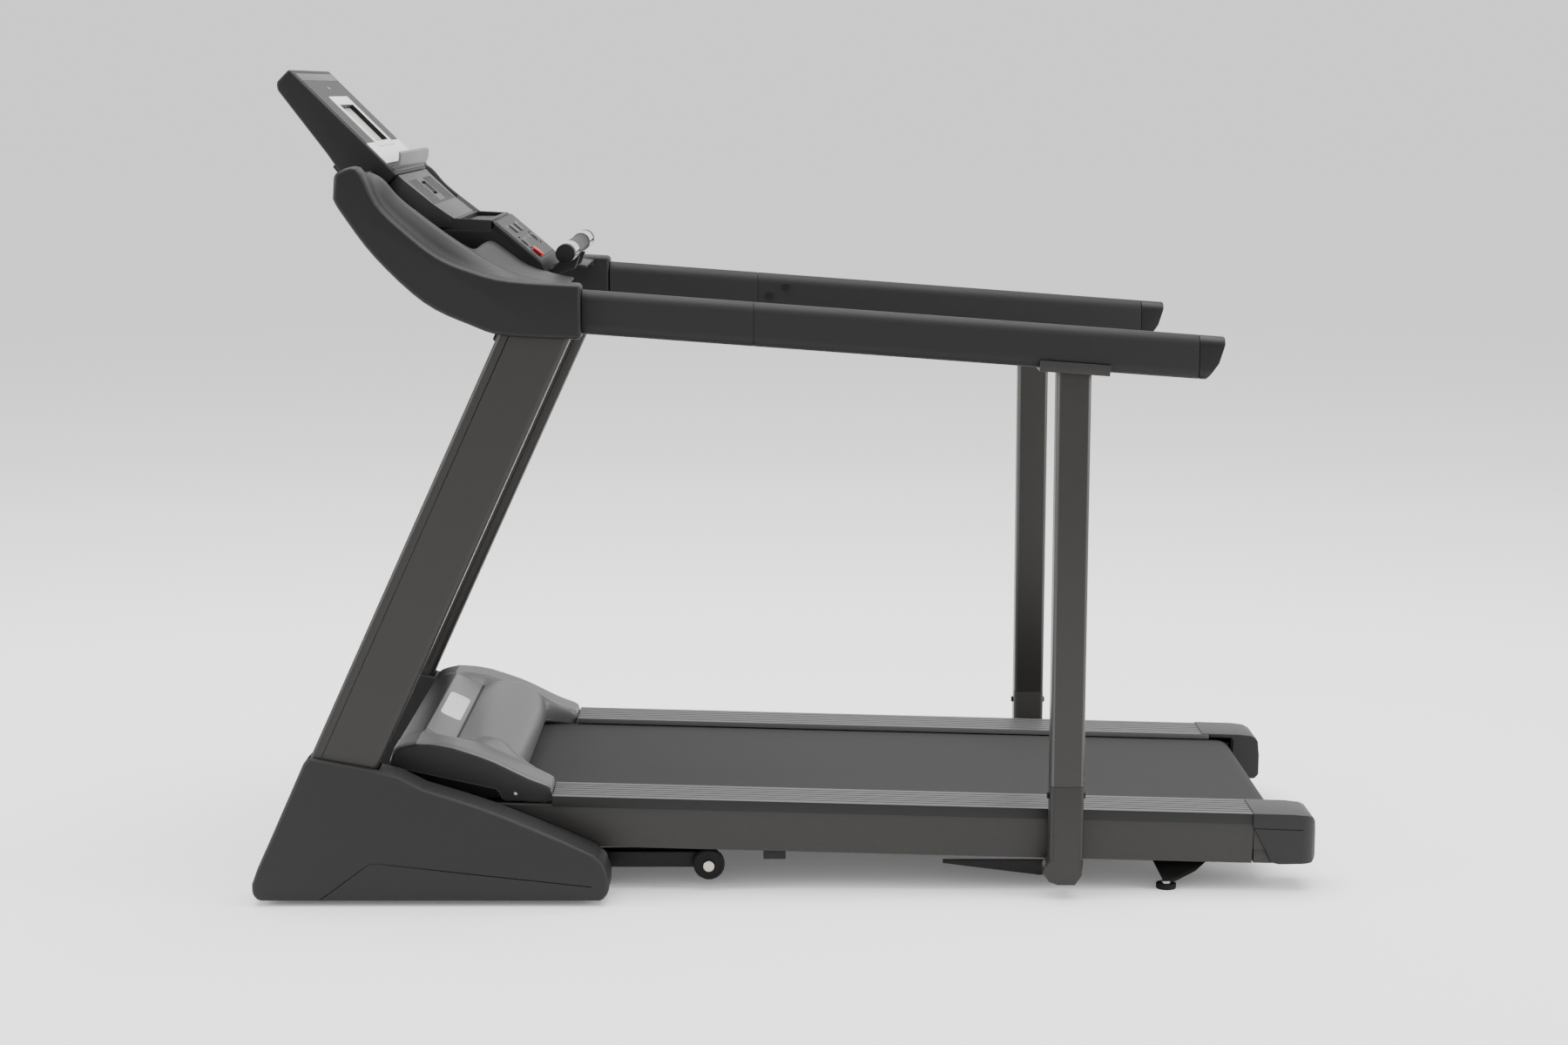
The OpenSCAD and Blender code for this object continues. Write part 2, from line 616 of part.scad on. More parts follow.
module motor_hood() color([0.35, 0.35, 0.36]) {
    both() difference() {
        slab(hood_line, hood_in_y - 4, hood_y);
        translate([0, hood_y - 4, 0]) rotate([90, 0, 0])
            linear_extrude(hood_y - hood_in_y - 4)
                difference() {
                    offset(delta = -4) polygon(hood_line);
                    translate([-800, 0]) square([500, 140]);
                }
        span([-696, -560], [hood_in_y, hood_y - 4], [140, 222]);
        span([-570, -520], [hood_in_y, hood_y - 4], [140, 190]);
        span([-530, -437], [hood_in_y - 5, hood_y - 4], [150, 186]);
    }
    slab(dome_line, -hood_in_y + 3, hood_in_y - 3);
    // Recessed skirt below the shoulders.
    both() slab([[-698, 164], [-698, 225], [-528, 187], [-514, 166], [-514, 164]], 312, 316);
}
// Light band with a plain raised badge, let into the hood's front slope.
module hood_badge() color([0.7, 0.7, 0.71]) {
    slab([[-661, 271.6], [-611, 247.5], [-611.2, 246.2], [-661.2, 270.3]], -236, 236);
    slab([[-654, 269.7], [-620, 253.3], [-620.3, 251.7], [-654.3, 268]], -badge_half, badge_half);
}

module end_cap() difference() {
    slab([[831, deck_z(831, 1.5)], [940, deck_z(940, 0.5)], [946, 130], [948, 75], [948, 58],
        [938, 50], [866, 50], [831, deck_z(831, -22)]], 250, 354);
    // Pocket over the rail end, the roller block and the side tube.
    on_deck() span([800, 847], [240, deck_y + 0.4], [-100, 0.4]);
    on_deck() span([820, 892], [240, side_tube_out + 0.4], [-93, -6]);
    on_deck() cross_rod(rear_roller_x, roller_z, roller_r + belt_t + 2, 240, belt_half + 3);
    on_deck() span([800, rear_roller_x], [240, belt_half + 3], [-95, -6]);
}
module end_cap_right() color([0.22, 0.22, 0.23]) end_cap();
module end_cap_left() color([0.22, 0.22, 0.23]) left() end_cap();

module rear_feet() color([0.08, 0.08, 0.08]) both() translate([681, 328, 0]) {
    cylinder(r = 18, h = 9);
    translate([0, 0, 8.9]) cylinder(r = 8, h = 5);
    translate([0, 0, 8.9]) cylinder(r = 4, h = 6);
}

// ---- drive ----

module drive_motor() color([0.15, 0.15, 0.16]) on_deck() difference() {
    union() {
        cross_rod(motor_x, motor_dz, motor_r, -150, 60);
        span([motor_x - 30, motor_x + 30], [-140, 40], [frame_low + 6.1, motor_dz - 20]);
    }
    cross_rod(motor_x, motor_dz, motor_shaft_r + fit, -160, 70);
}
module motor_rotor() color("silver") on_deck() {
    cross_rod(motor_x, motor_dz, motor_shaft_r, pulley_y[0], 62);
    cross_rod(motor_x, motor_dz, flywheel_r, -190, -154);
    cross_rod(motor_x, motor_dz, motor_pulley_r, pulley_y[0], pulley_y[1]);
}
module roller(x, y1, pulley) on_deck() difference() {
    union() {
        cross_rod(x, roller_z, roller_r, -belt_half + 2, y1);
        if (pulley) cross_rod(x, roller_z, roller_pulley_r, pulley_y[0], -belt_half + 3);
    }
    cross_rod(x, roller_z, shaft_r + fit, -300, 300);
}
module front_roller() color("silver") roller(front_roller_x, belt_half - 2, true);
module rear_roller() color("silver") roller(rear_roller_x, belt_half - 2, false);
module roller_shafts() color("gray") on_deck() {
    cross_rod(front_roller_x, roller_z, shaft_r, -bay_out + 1, bay_out - 1);
    cross_rod(rear_roller_x, roller_z, shaft_r, -side_tube_out + 5, side_tube_out - 5);
}
module drive_loop(grow) hull() {
    translate([motor_x, motor_dz]) circle(motor_pulley_r + grow, $fn = 32);
    translate([front_roller_x, roller_z]) circle(roller_pulley_r + grow, $fn = 32);
}
module drive_belt() color("black") on_deck()
    translate([0, pulley_y[1] - 1, 0]) rotate([90, 0, 0])
        linear_extrude(pulley_y[1] - pulley_y[0] - 2) difference() {
            drive_loop(3);
            drive_loop(gap);
        }

module motor_controller() color([0.1, 0.25, 0.15]) on_deck()
    span([motor_x - 30, motor_x + 30], [100, 230], [frame_low + 6.1, -30]);

// ---- lift actuator ----

module lift_actuator() color([0.3, 0.3, 0.32]) difference() {
    union() {
        translate([act_x, act_y, act_z]) rotate([0, 90, 0]) cylinder(r = act_r, h = 115);
        cross_rod(act_x, act_z, 14, act_y - act_r + 1, bay_in - 0.5);
    }
    cross_rod(act_x, act_z, lever_pin_r + fit, 200, 400);
    translate([act_x + 20, act_y, act_z]) rotate([0, 90, 0]) cylinder(r = rod_r + fit, h = 120);
}
// The thrust tube; its eye is loose on the crank pin, where the linkage is open.
module actuator_tube() color("silver") difference() {
    union() {
        translate([act_x + 25, act_y, act_z]) rotate([0, 90, 0]) cylinder(r = rod_r, h = 160);
        span([act_x + 180, level_x - 9], [act_y - 5, crank_y - 0.8], [act_z - 5, act_z + 5]);
        cross_rod(level_x, act_z, 13, act_y - 5, crank_y - 0.8);
    }
    cross_rod(level_x, act_z, crank_pin_r + 3, 200, 400);
}

base_frame();
base_cover_left();
base_cover_right();
base_pads();
upright_left();
upright_right();
console_beam();
arm_left();
arm_right();
side_trays();
console_housing();
console_face();
display_frame();
display_screen();
book_ledge();
console_ramp();
control_panel();
pulse_bar();
pulse_plates();
handrail_left();
handrail_right();
rail_extension_left();
rail_extension_right();
handrail_caps();
post_saddles();
post_left();
post_right();
post_foot_bar();
frame_bolts();
power_inlet();
power_switch();
transport_wheel_left();
transport_wheel_right();
start_key();
stop_key();
speed_key();
incline_key();
safety_key();
lift_sleeves();
lift_frame();
deck_frame();
running_board();
running_belt();
side_rail_left();
side_rail_right();
motor_hood();
hood_badge();
end_cap_left();
end_cap_right();
deck_cushions();
drive_motor();
motor_rotor();
front_roller();
rear_roller();
roller_shafts();
drive_belt();
motor_controller();
rear_feet();
lift_actuator();
actuator_tube();
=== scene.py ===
import json
import math

import bmesh
import bpy
from mathutils import Matrix, Vector

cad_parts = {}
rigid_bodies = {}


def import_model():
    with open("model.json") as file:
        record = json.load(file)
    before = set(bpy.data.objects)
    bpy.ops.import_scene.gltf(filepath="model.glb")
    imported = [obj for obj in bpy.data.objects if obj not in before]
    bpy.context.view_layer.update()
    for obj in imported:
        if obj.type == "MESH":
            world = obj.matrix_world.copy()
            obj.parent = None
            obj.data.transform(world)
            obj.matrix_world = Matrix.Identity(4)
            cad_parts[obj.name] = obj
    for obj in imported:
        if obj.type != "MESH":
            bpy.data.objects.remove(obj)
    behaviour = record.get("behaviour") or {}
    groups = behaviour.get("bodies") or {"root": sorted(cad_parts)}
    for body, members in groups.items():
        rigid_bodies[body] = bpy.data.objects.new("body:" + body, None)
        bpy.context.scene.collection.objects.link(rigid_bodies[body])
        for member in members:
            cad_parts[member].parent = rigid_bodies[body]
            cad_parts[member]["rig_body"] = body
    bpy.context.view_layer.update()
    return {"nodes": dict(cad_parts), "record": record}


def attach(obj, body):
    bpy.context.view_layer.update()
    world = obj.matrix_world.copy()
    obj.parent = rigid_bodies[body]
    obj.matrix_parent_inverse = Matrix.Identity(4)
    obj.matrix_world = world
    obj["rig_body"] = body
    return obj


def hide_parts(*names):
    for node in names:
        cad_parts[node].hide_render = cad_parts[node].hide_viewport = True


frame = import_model()
SLOT_OF = {p["node"]: p["material_slot"] for p in frame["record"]["subparts"]}
BODY_OF = {n: o["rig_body"] for n, o in frame["nodes"].items()}
MM = 0.001

# ---------------------------------------------------------------- materials


def material(name, color, rough, metal=0.0, mottle=0.06, scale=60.0, bump=0.0, bump_scale=900.0,
             stretch=(1, 1, 1), spec=0.25):
    """A procedural finish: soft mottling of colour and roughness, and a fine relief."""
    m = bpy.data.materials.new(name)
    m.use_nodes = True
    nt = m.node_tree
    nt.nodes.clear()
    out = nt.nodes.new("ShaderNodeOutputMaterial")
    b = nt.nodes.new("ShaderNodeBsdfPrincipled")
    nt.links.new(b.outputs["BSDF"], out.inputs["Surface"])
    tc = nt.nodes.new("ShaderNodeTexCoord")
    mp = nt.nodes.new("ShaderNodeMapping")
    mp.inputs["Scale"].default_value = stretch
    nt.links.new(tc.outputs["Object"], mp.inputs["Vector"])
    n1 = nt.nodes.new("ShaderNodeTexNoise")
    n1.inputs["Scale"].default_value = scale
    n1.inputs["Detail"].default_value = 4.0
    nt.links.new(mp.outputs["Vector"], n1.inputs["Vector"])
    ramp = nt.nodes.new("ShaderNodeValToRGB")
    lo = [c * (1 - mottle) for c in color]
    hi = [min(1.0, c * (1 + mottle)) for c in color]
    ramp.color_ramp.elements[0].position = 0.35
    ramp.color_ramp.elements[0].color = (*lo, 1)
    ramp.color_ramp.elements[1].position = 0.65
    ramp.color_ramp.elements[1].color = (*hi, 1)
    nt.links.new(n1.outputs["Fac"], ramp.inputs["Fac"])
    nt.links.new(ramp.outputs["Color"], b.inputs["Base Color"])
    mr = nt.nodes.new("ShaderNodeMapRange")
    mr.inputs["From Min"].default_value = 0.3
    mr.inputs["From Max"].default_value = 0.7
    mr.inputs["To Min"].default_value = max(0.02, rough - 0.03)
    mr.inputs["To Max"].default_value = min(1.0, rough + 0.03)
    nt.links.new(n1.outputs["Fac"], mr.inputs["Value"])
    nt.links.new(mr.outputs["Result"], b.inputs["Roughness"])
    b.inputs["Metallic"].default_value = metal
    b.inputs["Specular IOR Level"].default_value = spec
    if bump:
        n2 = nt.nodes.new("ShaderNodeTexNoise")
        n2.inputs["Scale"].default_value = bump_scale
        n2.inputs["Detail"].default_value = 2.0
        nt.links.new(mp.outputs["Vector"], n2.inputs["Vector"])
        bp = nt.nodes.new("ShaderNodeBump")
        bp.inputs["Strength"].default_value = bump
        bp.inputs["Distance"].default_value = 0.0004
        nt.links.new(n2.outputs["Fac"], bp.inputs["Height"])
        nt.links.new(bp.outputs["Normal"], b.inputs["Normal"])
    return m


LIGHT = 1.5


def grey(v, r=0.0, b=0.0):
    """The albedo that shows as about the level v out of 255 in this light."""
    def albedo(c):
        return max(0.004, (0.04 * math.exp(0.023 * (c - 60)) - 0.02) / LIGHT)
    return (albedo(v + r), albedo(v), albedo(v + b))


MAT = {
    "frame_paint": material("frame_paint", grey(82, 1, -2), 0.4, 0.5, 0.05, 400, 0.10, 1500),
    "black_steel": material("black_steel", grey(38), 0.45, 0.3, 0.05, 200, 0.1),
    "cover_plastic": material("cover_plastic", grey(60, 1, 1), 0.55, 0.0, 0.04, 300, 0.35, 1300),
    # the hood's top: a lighter grey than its sides and front, painted light from above on one plastic
    "hood_plastic": material("hood_plastic", grey(120), 0.38, 0.2, 0.04, 300, 0.12, 1400),
    "silver_plastic": material("silver_plastic", grey(140), 0.4, 0.35, 0.03, 300, 0.06),
    "console_plastic": material("console_plastic", grey(44), 0.48, 0.0, 0.05, 300, 0.25, 1300),
    "face_film": material("face_film", grey(58), 0.42, 0.1, 0.02, 200, 0.04),
    "screen": material("screen", grey(190, -4, -6), 0.22, 0.0, 0.02, 50),
    "foam_grip": material("foam_grip", grey(50), 0.62, 0.0, 0.07, 500, 0.5, 1600),
    "black_plastic": material("black_plastic", grey(30), 0.45, 0.0, 0.06, 300, 0.15, 1200),
    "rubber": material("rubber", grey(28), 0.75, 0.0, 0.08, 300, 0.3, 1200),
    "rail_lip": material("rail_lip", grey(52), 0.5, 0.0, 0.05, 300, 0.15, 1200),
    # a darker copy of the hood's plastic, laid on the hood's front faces as painted shade
    "hood_front_painted_shade": material("hood_front_painted_shade", grey(46), 0.42, 0.1, 0.05, 300, 0.15, 1200),
    "tray_plastic": material("tray_plastic", grey(64), 0.45, 0.0, 0.05, 300, 0.2, 1300),
    "badge_white": material("badge_white", grey(198), 0.35, 0.0, 0.02, 300),
    "ramp_plastic": material("ramp_plastic", grey(104), 0.45, 0.1, 0.03, 300, 0.1, stretch=(1, 8, 1)),
    # a lighter copy of cover_plastic: painted light on the end caps' top faces, and a painted highlight on
    # the hood's edge line
    "painted_light_grey": material("painted_light_grey", grey(88, 1, 1), 0.42, 0.0, 0.04, 300, 0.3, 1300),
    # a lighter copy of frame_paint, laid on the posts' corners as a painted highlight
    "post_edge_painted_highlight": material("post_edge_painted_highlight", grey(104, 1, -2), 0.35, 0.5, 0.05, 400, 0.10, 1500),
    "belt": material("belt", grey(72, 1, 0), 0.78, 0.0, 0.08, 900, 0.5, 1800),
    "rail_plastic": material("rail_plastic", grey(118), 0.42, 0.1, 0.04, 300, 0.1, 1200),
    "board": material("board", grey(96, 18, -22), 0.6, 0.0, 0.1, 40, 0.2, 400, stretch=(0.2, 1, 1)),
    "bright_steel": material("bright_steel", grey(178, 4, -6), 0.28, 0.9, 0.04, 200, 0.05),
    "sensor_steel": material("sensor_steel", grey(214), 0.2, 0.95, 0.03, 200, 0.03),
    "key_light": material("key_light", grey(100), 0.4, 0.0, 0.03, 300),
    "key_red": material("key_red", (0.5, 0.02, 0.015), 0.38, 0.0, 0.05, 300),
    "board_green": material("board_green", (0.02, 0.12, 0.05), 0.5, 0.0, 0.15, 90),
    "motor_paint": material("motor_paint", grey(46), 0.4, 0.5, 0.05, 250, 0.1),
}

# ---------------------------------------------------------------- mesh helpers


def piece(name, me, slot, body, replaces=(), angle=35.0):
    """Adds a finished piece that rides a body of the frame; angle is where its edges turn sharp."""
    o = bpy.data.objects.new(name, me)
    bpy.context.scene.collection.objects.link(o)
    me.materials.clear()
    me.materials.append(MAT[slot])
    me.shade_smooth()
    me.set_sharp_from_angle(angle=math.radians(angle))
    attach(o, body)
    if replaces:
        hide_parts(*replaces)
    return o


def baked(o):
    """Applies an object's modifiers to its mesh."""
    dg = bpy.context.evaluated_depsgraph_get()
    me = bpy.data.meshes.new_from_object(o.evaluated_get(dg))
    o.modifiers.clear()
    o.data = me
    return o


def modified(me, kind, **settings):
    """A copy of a mesh with one modifier applied."""
    o = bpy.data.objects.new("tmp", me)
    bpy.context.scene.collection.objects.link(o)
    m = o.modifiers.new("m", kind)
    for name, value in settings.items():
        setattr(m, name, value)
    bpy.context.view_layer.update()
    baked(o)
    out = o.data
    bpy.data.objects.remove(o)
    return out


def bevelled(me, width, segments=3, limit=40.0):
    """A copy of a mesh with its sharp edges rounded."""
    return modified(me, "BEVEL", width=width, segments=segments, limit_method="ANGLE",
                    angle_limit=math.radians(limit), use_clamp_overlap=True, miter_outer="MITER_ARC")


def solidified(me, t):
    """A copy of a skin made t millimetres thick, inwards."""
    return modified(me, "SOLIDIFY", thickness=t * MM, offset=-1, use_even_offset=False)


def boolean(me, cutters, mode="DIFFERENCE"):
    """A copy of a mesh with the cutters taken off it, or cut down to them."""
    o = bpy.data.objects.new("tmp", me)
    bpy.context.scene.collection.objects.link(o)
    made = []
    for c in cutters:
        co = bpy.data.objects.new("cut", c)
        bpy.context.scene.collection.objects.link(co)
        made.append(co)
        m = o.modifiers.new("c", "BOOLEAN")
        m.operation = mode
        m.object = co
        m.solver = "EXACT"
    bpy.context.view_layer.update()
    baked(o)
    out = o.data
    for x in [o] + made:
        bpy.data.objects.remove(x)
    bm = bmesh.new()
    bm.from_mesh(out)
    bmesh.ops.remove_doubles(bm, verts=bm.verts, dist=2e-5)
    bmesh.ops.dissolve_degenerate(bm, edges=bm.edges, dist=2e-5)
    bm.to_mesh(out)
    bm.free()
    return out


def cleaned(node):
    """A copy of a CAD node's mesh with flat faces merged."""
    bm = bmesh.new()
    bm.from_mesh(frame["nodes"][node].data)
    bmesh.ops.remove_doubles(bm, verts=bm.verts, dist=1e-5)
    bmesh.ops.dissolve_limit(bm, angle_limit=math.radians(0.6), verts=bm.verts, edges=bm.edges)
    me = bpy.data.meshes.new(node + "_look")
    bm.to_mesh(me)
    bm.free()
    return me


def soften(node, width, segments, slot):
    """A CAD node's own shape with its edges rounded."""
    me = bevelled(cleaned(node), width * MM, segments)
    return piece(node + "_look", me, slot, BODY_OF[node], (node,))


def merged(me, angle):
    """Merges the faces of a mesh that meet within an angle of flat."""
    bm = bmesh.new()
    bm.from_mesh(me)
    bmesh.ops.dissolve_limit(bm, angle_limit=math.radians(angle), verts=bm.verts, edges=bm.edges)
    bm.to_mesh(me)
    bm.free()
    return me


def finished(bm, name):
    """Turns a built shape into a mesh whose faces look outward."""
    bmesh.ops.recalc_face_normals(bm, faces=bm.faces)
    me = bpy.data.meshes.new(name)
    bm.to_mesh(me)
    bm.free()
    return me


def prism(points, y0, y1):
    """A solid from a side-view outline, in millimetres, between y0 and y1."""
    bm = bmesh.new()
    lo, hi = min(y0, y1), max(y0, y1)
    a = [bm.verts.new((x * MM, lo * MM, z * MM)) for x, z in points]
    b = [bm.verts.new((x * MM, hi * MM, z * MM)) for x, z in points]
    n = len(points)
    bm.faces.new(a)
    bm.faces.new(b[::-1])
    for i in range(n):
        bm.faces.new([a[(i + 1) % n], a[i], b[i], b[(i + 1) % n]])
    return finished(bm, "prism")


def plan(points, z0, z1):
    """A solid from a plan outline, in millimetres."""
    me = prism(points, z0, z1)
    me.transform(Matrix(((1, 0, 0, 0), (0, 0, 1, 0), (0, 1, 0, 0), (0, 0, 0, 1))))
    me.flip_normals()
    return me


def block(x, y, z, tilt=0.0, about=(0, 0)):
    """A box from its three ranges, turned in side view about a point where it is tilted."""
    me = prism([(x[0], z[0]), (x[1], z[0]), (x[1], z[1]), (x[0], z[1])], y[0], y[1])
    if tilt:
        c = Vector((about[0] * MM, 0, about[1] * MM))
        me.transform(Matrix.Translation(c) @ Matrix.Rotation(math.radians(tilt), 4, "Y")
                     @ Matrix.Translation(-c))
    return me


def mirrored(me):
    """The mesh's copy on the other side."""
    out = me.copy()
    out.transform(Matrix.Scale(-1, 4, (0, 1, 0)))
    out.flip_normals()
    return out


def curve(p, n):
    """A smooth line through points, with n steps between neighbours."""
    out = []
    for i in range(len(p) - 1):
        q = [p[max(i - 1, 0)], p[i], p[i + 1], p[min(i + 2, len(p) - 1)]]
        for j in range(n):
            t = j / n
            out.append(tuple(0.5 * (2 * q[1][k] + (q[2][k] - q[0][k]) * t
                                    + (2 * q[0][k] - 5 * q[1][k] + 4 * q[2][k] - q[3][k]) * t * t
                                    + (3 * q[1][k] - q[0][k] - 3 * q[2][k] + q[3][k]) * t ** 3)
                             for k in (0, 1)))
    out.append(tuple(p[-1]))
    return out


def smoothstep(a, b, x):
    """Rises smoothly from 0 at a to 1 at b."""
    t = min(1.0, max(0.0, (x - a) / (b - a)))
    return t * t * (3 - 2 * t)


def paint(o, slot, test):
    """Gives the faces that pass a test a second finish."""
    me = o.data
    me.materials.append(MAT[slot])
    k = len(me.materials) - 1
    for f in me.polygons:
        if test(f.center / MM, f.normal):
            f.material_index = k
    return o


def both_sides(name, me, slot, body, replaces=(), angle=35.0):
    """One piece made of a mesh and its mirror image."""
    bm = bmesh.new()
    bm.from_mesh(me)
    bm.from_mesh(mirrored(me))
    out = bpy.data.meshes.new(name)
    bm.to_mesh(out)
    bm.free()
    return piece(name, out, slot, body, replaces, angle)

# ---------------------------------------------------------------- shared places, in millimetres

SIDES = (("left", -1), ("right", 1))
LEAN = math.radians(24.7)      # the uprights' lean from the vertical
UPRIGHT_HALF = 58.25           # half the upright's depth across its leaning face
UPRIGHT_FOOT = (-877, 52)      # where the upright's centre line starts
DECK_TOP = 165                 # height of the foot rails' plane at x = 0
DECK_FALL = 1.5                # fall of the deck to the rear, in degrees
COVER_IN, COVER_OUT = 353, 444
COVER_HOLLOW = 409             # how far out the covers are hollow
CAP_IN, CAP_OUT = 250, 354
CAP_END = 948                  # rear end of the machine
TUBE_IN, TUBE_OUT = 306, 346   # the deck's side tube
HOOD_HALF = 333                # half the hood's width
HOOD_SHOULDER = 322            # where the hood's side edge starts to round over


def upright_mid(z):
    """The upright's centre line, as x at a height."""
    return UPRIGHT_FOOT[0] + (z - UPRIGHT_FOOT[1]) * math.tan(LEAN)


def deck_z(x, z):
    """Height of a point z above the deck's top plane, at x."""
    return DECK_TOP - x * math.tan(math.radians(DECK_FALL)) + z


def circle_points(cx, cz, r, n):
    """A round side outline with n points."""
    turns = [2 * math.pi * i / n for i in range(n)]
    return [(cx + r * math.cos(a), cz + r * math.sin(a)) for a in turns]

# ---------------------------------------------------------------- base covers

COVER = ([(-938, 9), (-948, 21), (-948, 39)]
         + curve([(-937, 69), (-917, 113), (-886, 183), (-856, 251)], 6)
         + [(-846, 263), (-834, 260), (-732, 241), (-688, 229)]
         + curve([(-645, 207), (-533, 171), (-400, 117)], 6)
         + [(-345, 92), (-327, 76), (-318, 52), (-318, 24), (-330, 9)])


def lean_quad(grow, z0, z1):
    """Side outline of the leaning upright between two heights."""
    half = (UPRIGHT_HALF + grow) / math.cos(LEAN)
    a, b = upright_mid(z0), upright_mid(z1)
    return [(a - half, z0), (a + half, z0), (b + half, z1), (b - half, z1)]


def stripe(points, half, y0, y1):
    """Boxes along a line in side view, for a narrow groove."""
    out = []
    for (ax, az), (bx, bz) in zip(points, points[1:]):
        d = math.dist((ax, az), (bx, bz))
        ux, uz = (bx - ax) / d, (bz - az) / d
        wx, wz = uz * half, ux * half
        out.append(prism([(ax - wx - ux, az + wz - uz), (ax + wx - ux, az - wz - uz),
                          (bx + wx + ux, bz - wz + uz), (bx - wx + ux, bz + wz + uz)], y0, y1))
    return out


def wedge():
    """What the draft of the outer face takes off."""
    bm = bmesh.new()
    low, high, draft = 60, 420, math.radians(8)
    pts = [(COVER_OUT, low), (COVER_OUT + 36, low), (COVER_OUT + 36, high),
           (COVER_OUT - (high - low) * math.tan(draft), high)]
    rows = [[bm.verts.new((x * MM, y * MM, z * MM)) for y, z in pts] for x in (-1000, -250)]
    bm.faces.new(rows[0])
    bm.faces.new(rows[1][::-1])
    for i in range(4):
        j = (i + 1) % 4
        bm.faces.new([rows[0][j], rows[0][i], rows[1][i], rows[1][j]])
    return finished(bm, "wedge")


def cover_mesh():
    """The right base cover: hollow, with a drafted outer face and a line pressed into it."""
    me = merged(boolean(prism(COVER, COVER_IN, COVER_OUT), [wedge()]), 0.5)
    me = bevelled(me, 9 * MM, 5, 30)
    inner = [(-940, -20), (-940, 39), (-929, 69), (-909, 113), (-882, 183), (-853, 246), (-843, 257),
             (-733, 236), (-690, 225), (-646, 203), (-534, 167), (-401, 113), (-347, 88),
             (-331, 73), (-322, 51), (-322, -20)]
    cuts = [prism(inner, COVER_IN + 3.5, COVER_HOLLOW),
            prism(lean_quad(2.5, 100, 330), COVER_IN + 4.5, COVER_HOLLOW - 1)]
    # Openings in the inner wall for the frame's members.
    openings = (((-657, -480), (30, 158)), ((-457, -408), (-5, 42)), ((-907, -863), (-5, 52)))
    cuts += [block(x, (COVER_IN - 8, COVER_IN + 5), z) for x, z in openings]
    cuts += stripe([(-841, 2), (-741, 76), (-728, 78), (-349, 36)], 0.8, COVER_OUT - 3.2, COVER_OUT + 6)
    return boolean(me, cuts)


cover = cover_mesh()
piece("base_cover_right_look", cover, "cover_plastic", "frame", ("base_cover_right",), 30)
piece("base_cover_left_look", mirrored(cover), "cover_plastic", "frame", ("base_cover_left",), 30)

# ---------------------------------------------------------------- end caps


def rounded_plan(x0, x1, y0, y1, r, n=8):
    """Plan outline with a round outer rear corner."""
    pts = [(x0, y0), (x1, y0)]
    for i in range(n + 1):
        a = math.pi / 2 * i / n
        pts.append((x1 - r + r * math.cos(a), y1 - r + r * math.sin(a)))
    pts.append((x0, y1))
    return pts


def cap_mesh():
    """The right end cap, with room inside for what it covers."""
    side = [(831, deck_z(831, 1.5)), (905, deck_z(905, 1.2)), (930, deck_z(930, -1)),
            (940, deck_z(940, -5)), (945, 128), (CAP_END, 100), (CAP_END, 60), (940, 51), (880, 50),
            (866, 53), (831, deck_z(831, -22))]
    corner = plan(rounded_plan(800, CAP_END, 200, CAP_OUT, 30), 0, 300)
    me = merged(boolean(prism(side, CAP_IN, CAP_OUT), [corner], "INTERSECT"), 0.5)
    me = bevelled(me, 4.5 * MM, 4, 32)
    # Room for the deck's end, for the side tube's tail and for the belt on its roller.
    pockets = (((800, 847), (240, 350.4), (60, deck_z(823, 0.4)), 823),
               ((820, 892), (240, 346.4), (deck_z(856, -93), deck_z(856, -6)), 856),
               ((800, 895), (240, 256), (deck_z(861, -110), deck_z(861, -9)), 861))
    cuts = [block(x, y, z, DECK_FALL, (mid, z[1])) for x, y, z, mid in pockets]
    cuts.append(prism([(820, 118.9), (921, 114.9), (921, 112.9), (820, 116.9)], CAP_OUT - 1.6, CAP_OUT + 6))
    return boolean(me, cuts)


cap = cap_mesh()
# The caps' upward faces take the lighter grey: painted light on their tops.
for side, me in (("right", cap), ("left", mirrored(cap))):
    paint(piece(f"end_cap_{side}_look", me, "cover_plastic", "deck", (f"end_cap_{side}",), 30), "painted_light_grey",
          lambda c, n: n.z > 0.85 and c.z > 135)
line = [(833, 118.2), (920.5, 114.7), (920.5, 113.1), (833, 116.6)]
both_sides("end_cap_lines", prism(line, CAP_OUT - 2.4, CAP_OUT - 1.4), "black_plastic", "deck")


def tube_tail(low, high):
    """Side outline of the side tube's tail between two heights in the deck."""
    return [(x, deck_z(x, z)) for x, z in ((834, low), (868, low), (868, high), (834, high))]


# The closed tails of the side tubes, inside the caps.
tail = bevelled(prism(tube_tail(-91.8, -67), TUBE_IN, TUBE_OUT - 0.2), 1 * MM, 2)
both_sides("side_tube_tails", tail, "frame_paint", "deck")
both_sides("side_tube_tail_webs", prism(tube_tail(-67, -20), 342.6, TUBE_OUT - 0.2), "frame_paint", "deck")
# A small black block under each side tube.
both_sides("side_tube_blocks", bevelled(block((-46, -6), (318, 338), (56, deck_z(-26, -92.2))), 1.5 * MM, 2),
           "black_plastic", "deck")

# ---------------------------------------------------------------- hood


def resample(line, n):
    """A line cut into n equal steps of length."""
    d = [0.0]
    for a, b in zip(line, line[1:]):
        d.append(d[-1] + math.dist(a, b))
    out, k = [], 0
    for i in range(n + 1):
        t = d[-1] * i / n
        while k < len(d) - 2 and d[k + 1] < t:
            k += 1
        f = (t - d[k]) / max(1e-9, d[k + 1] - d[k])
        out.append(tuple(line[k][j] + f * (line[k + 1][j] - line[k][j]) for j in (0, 1)))
    return out


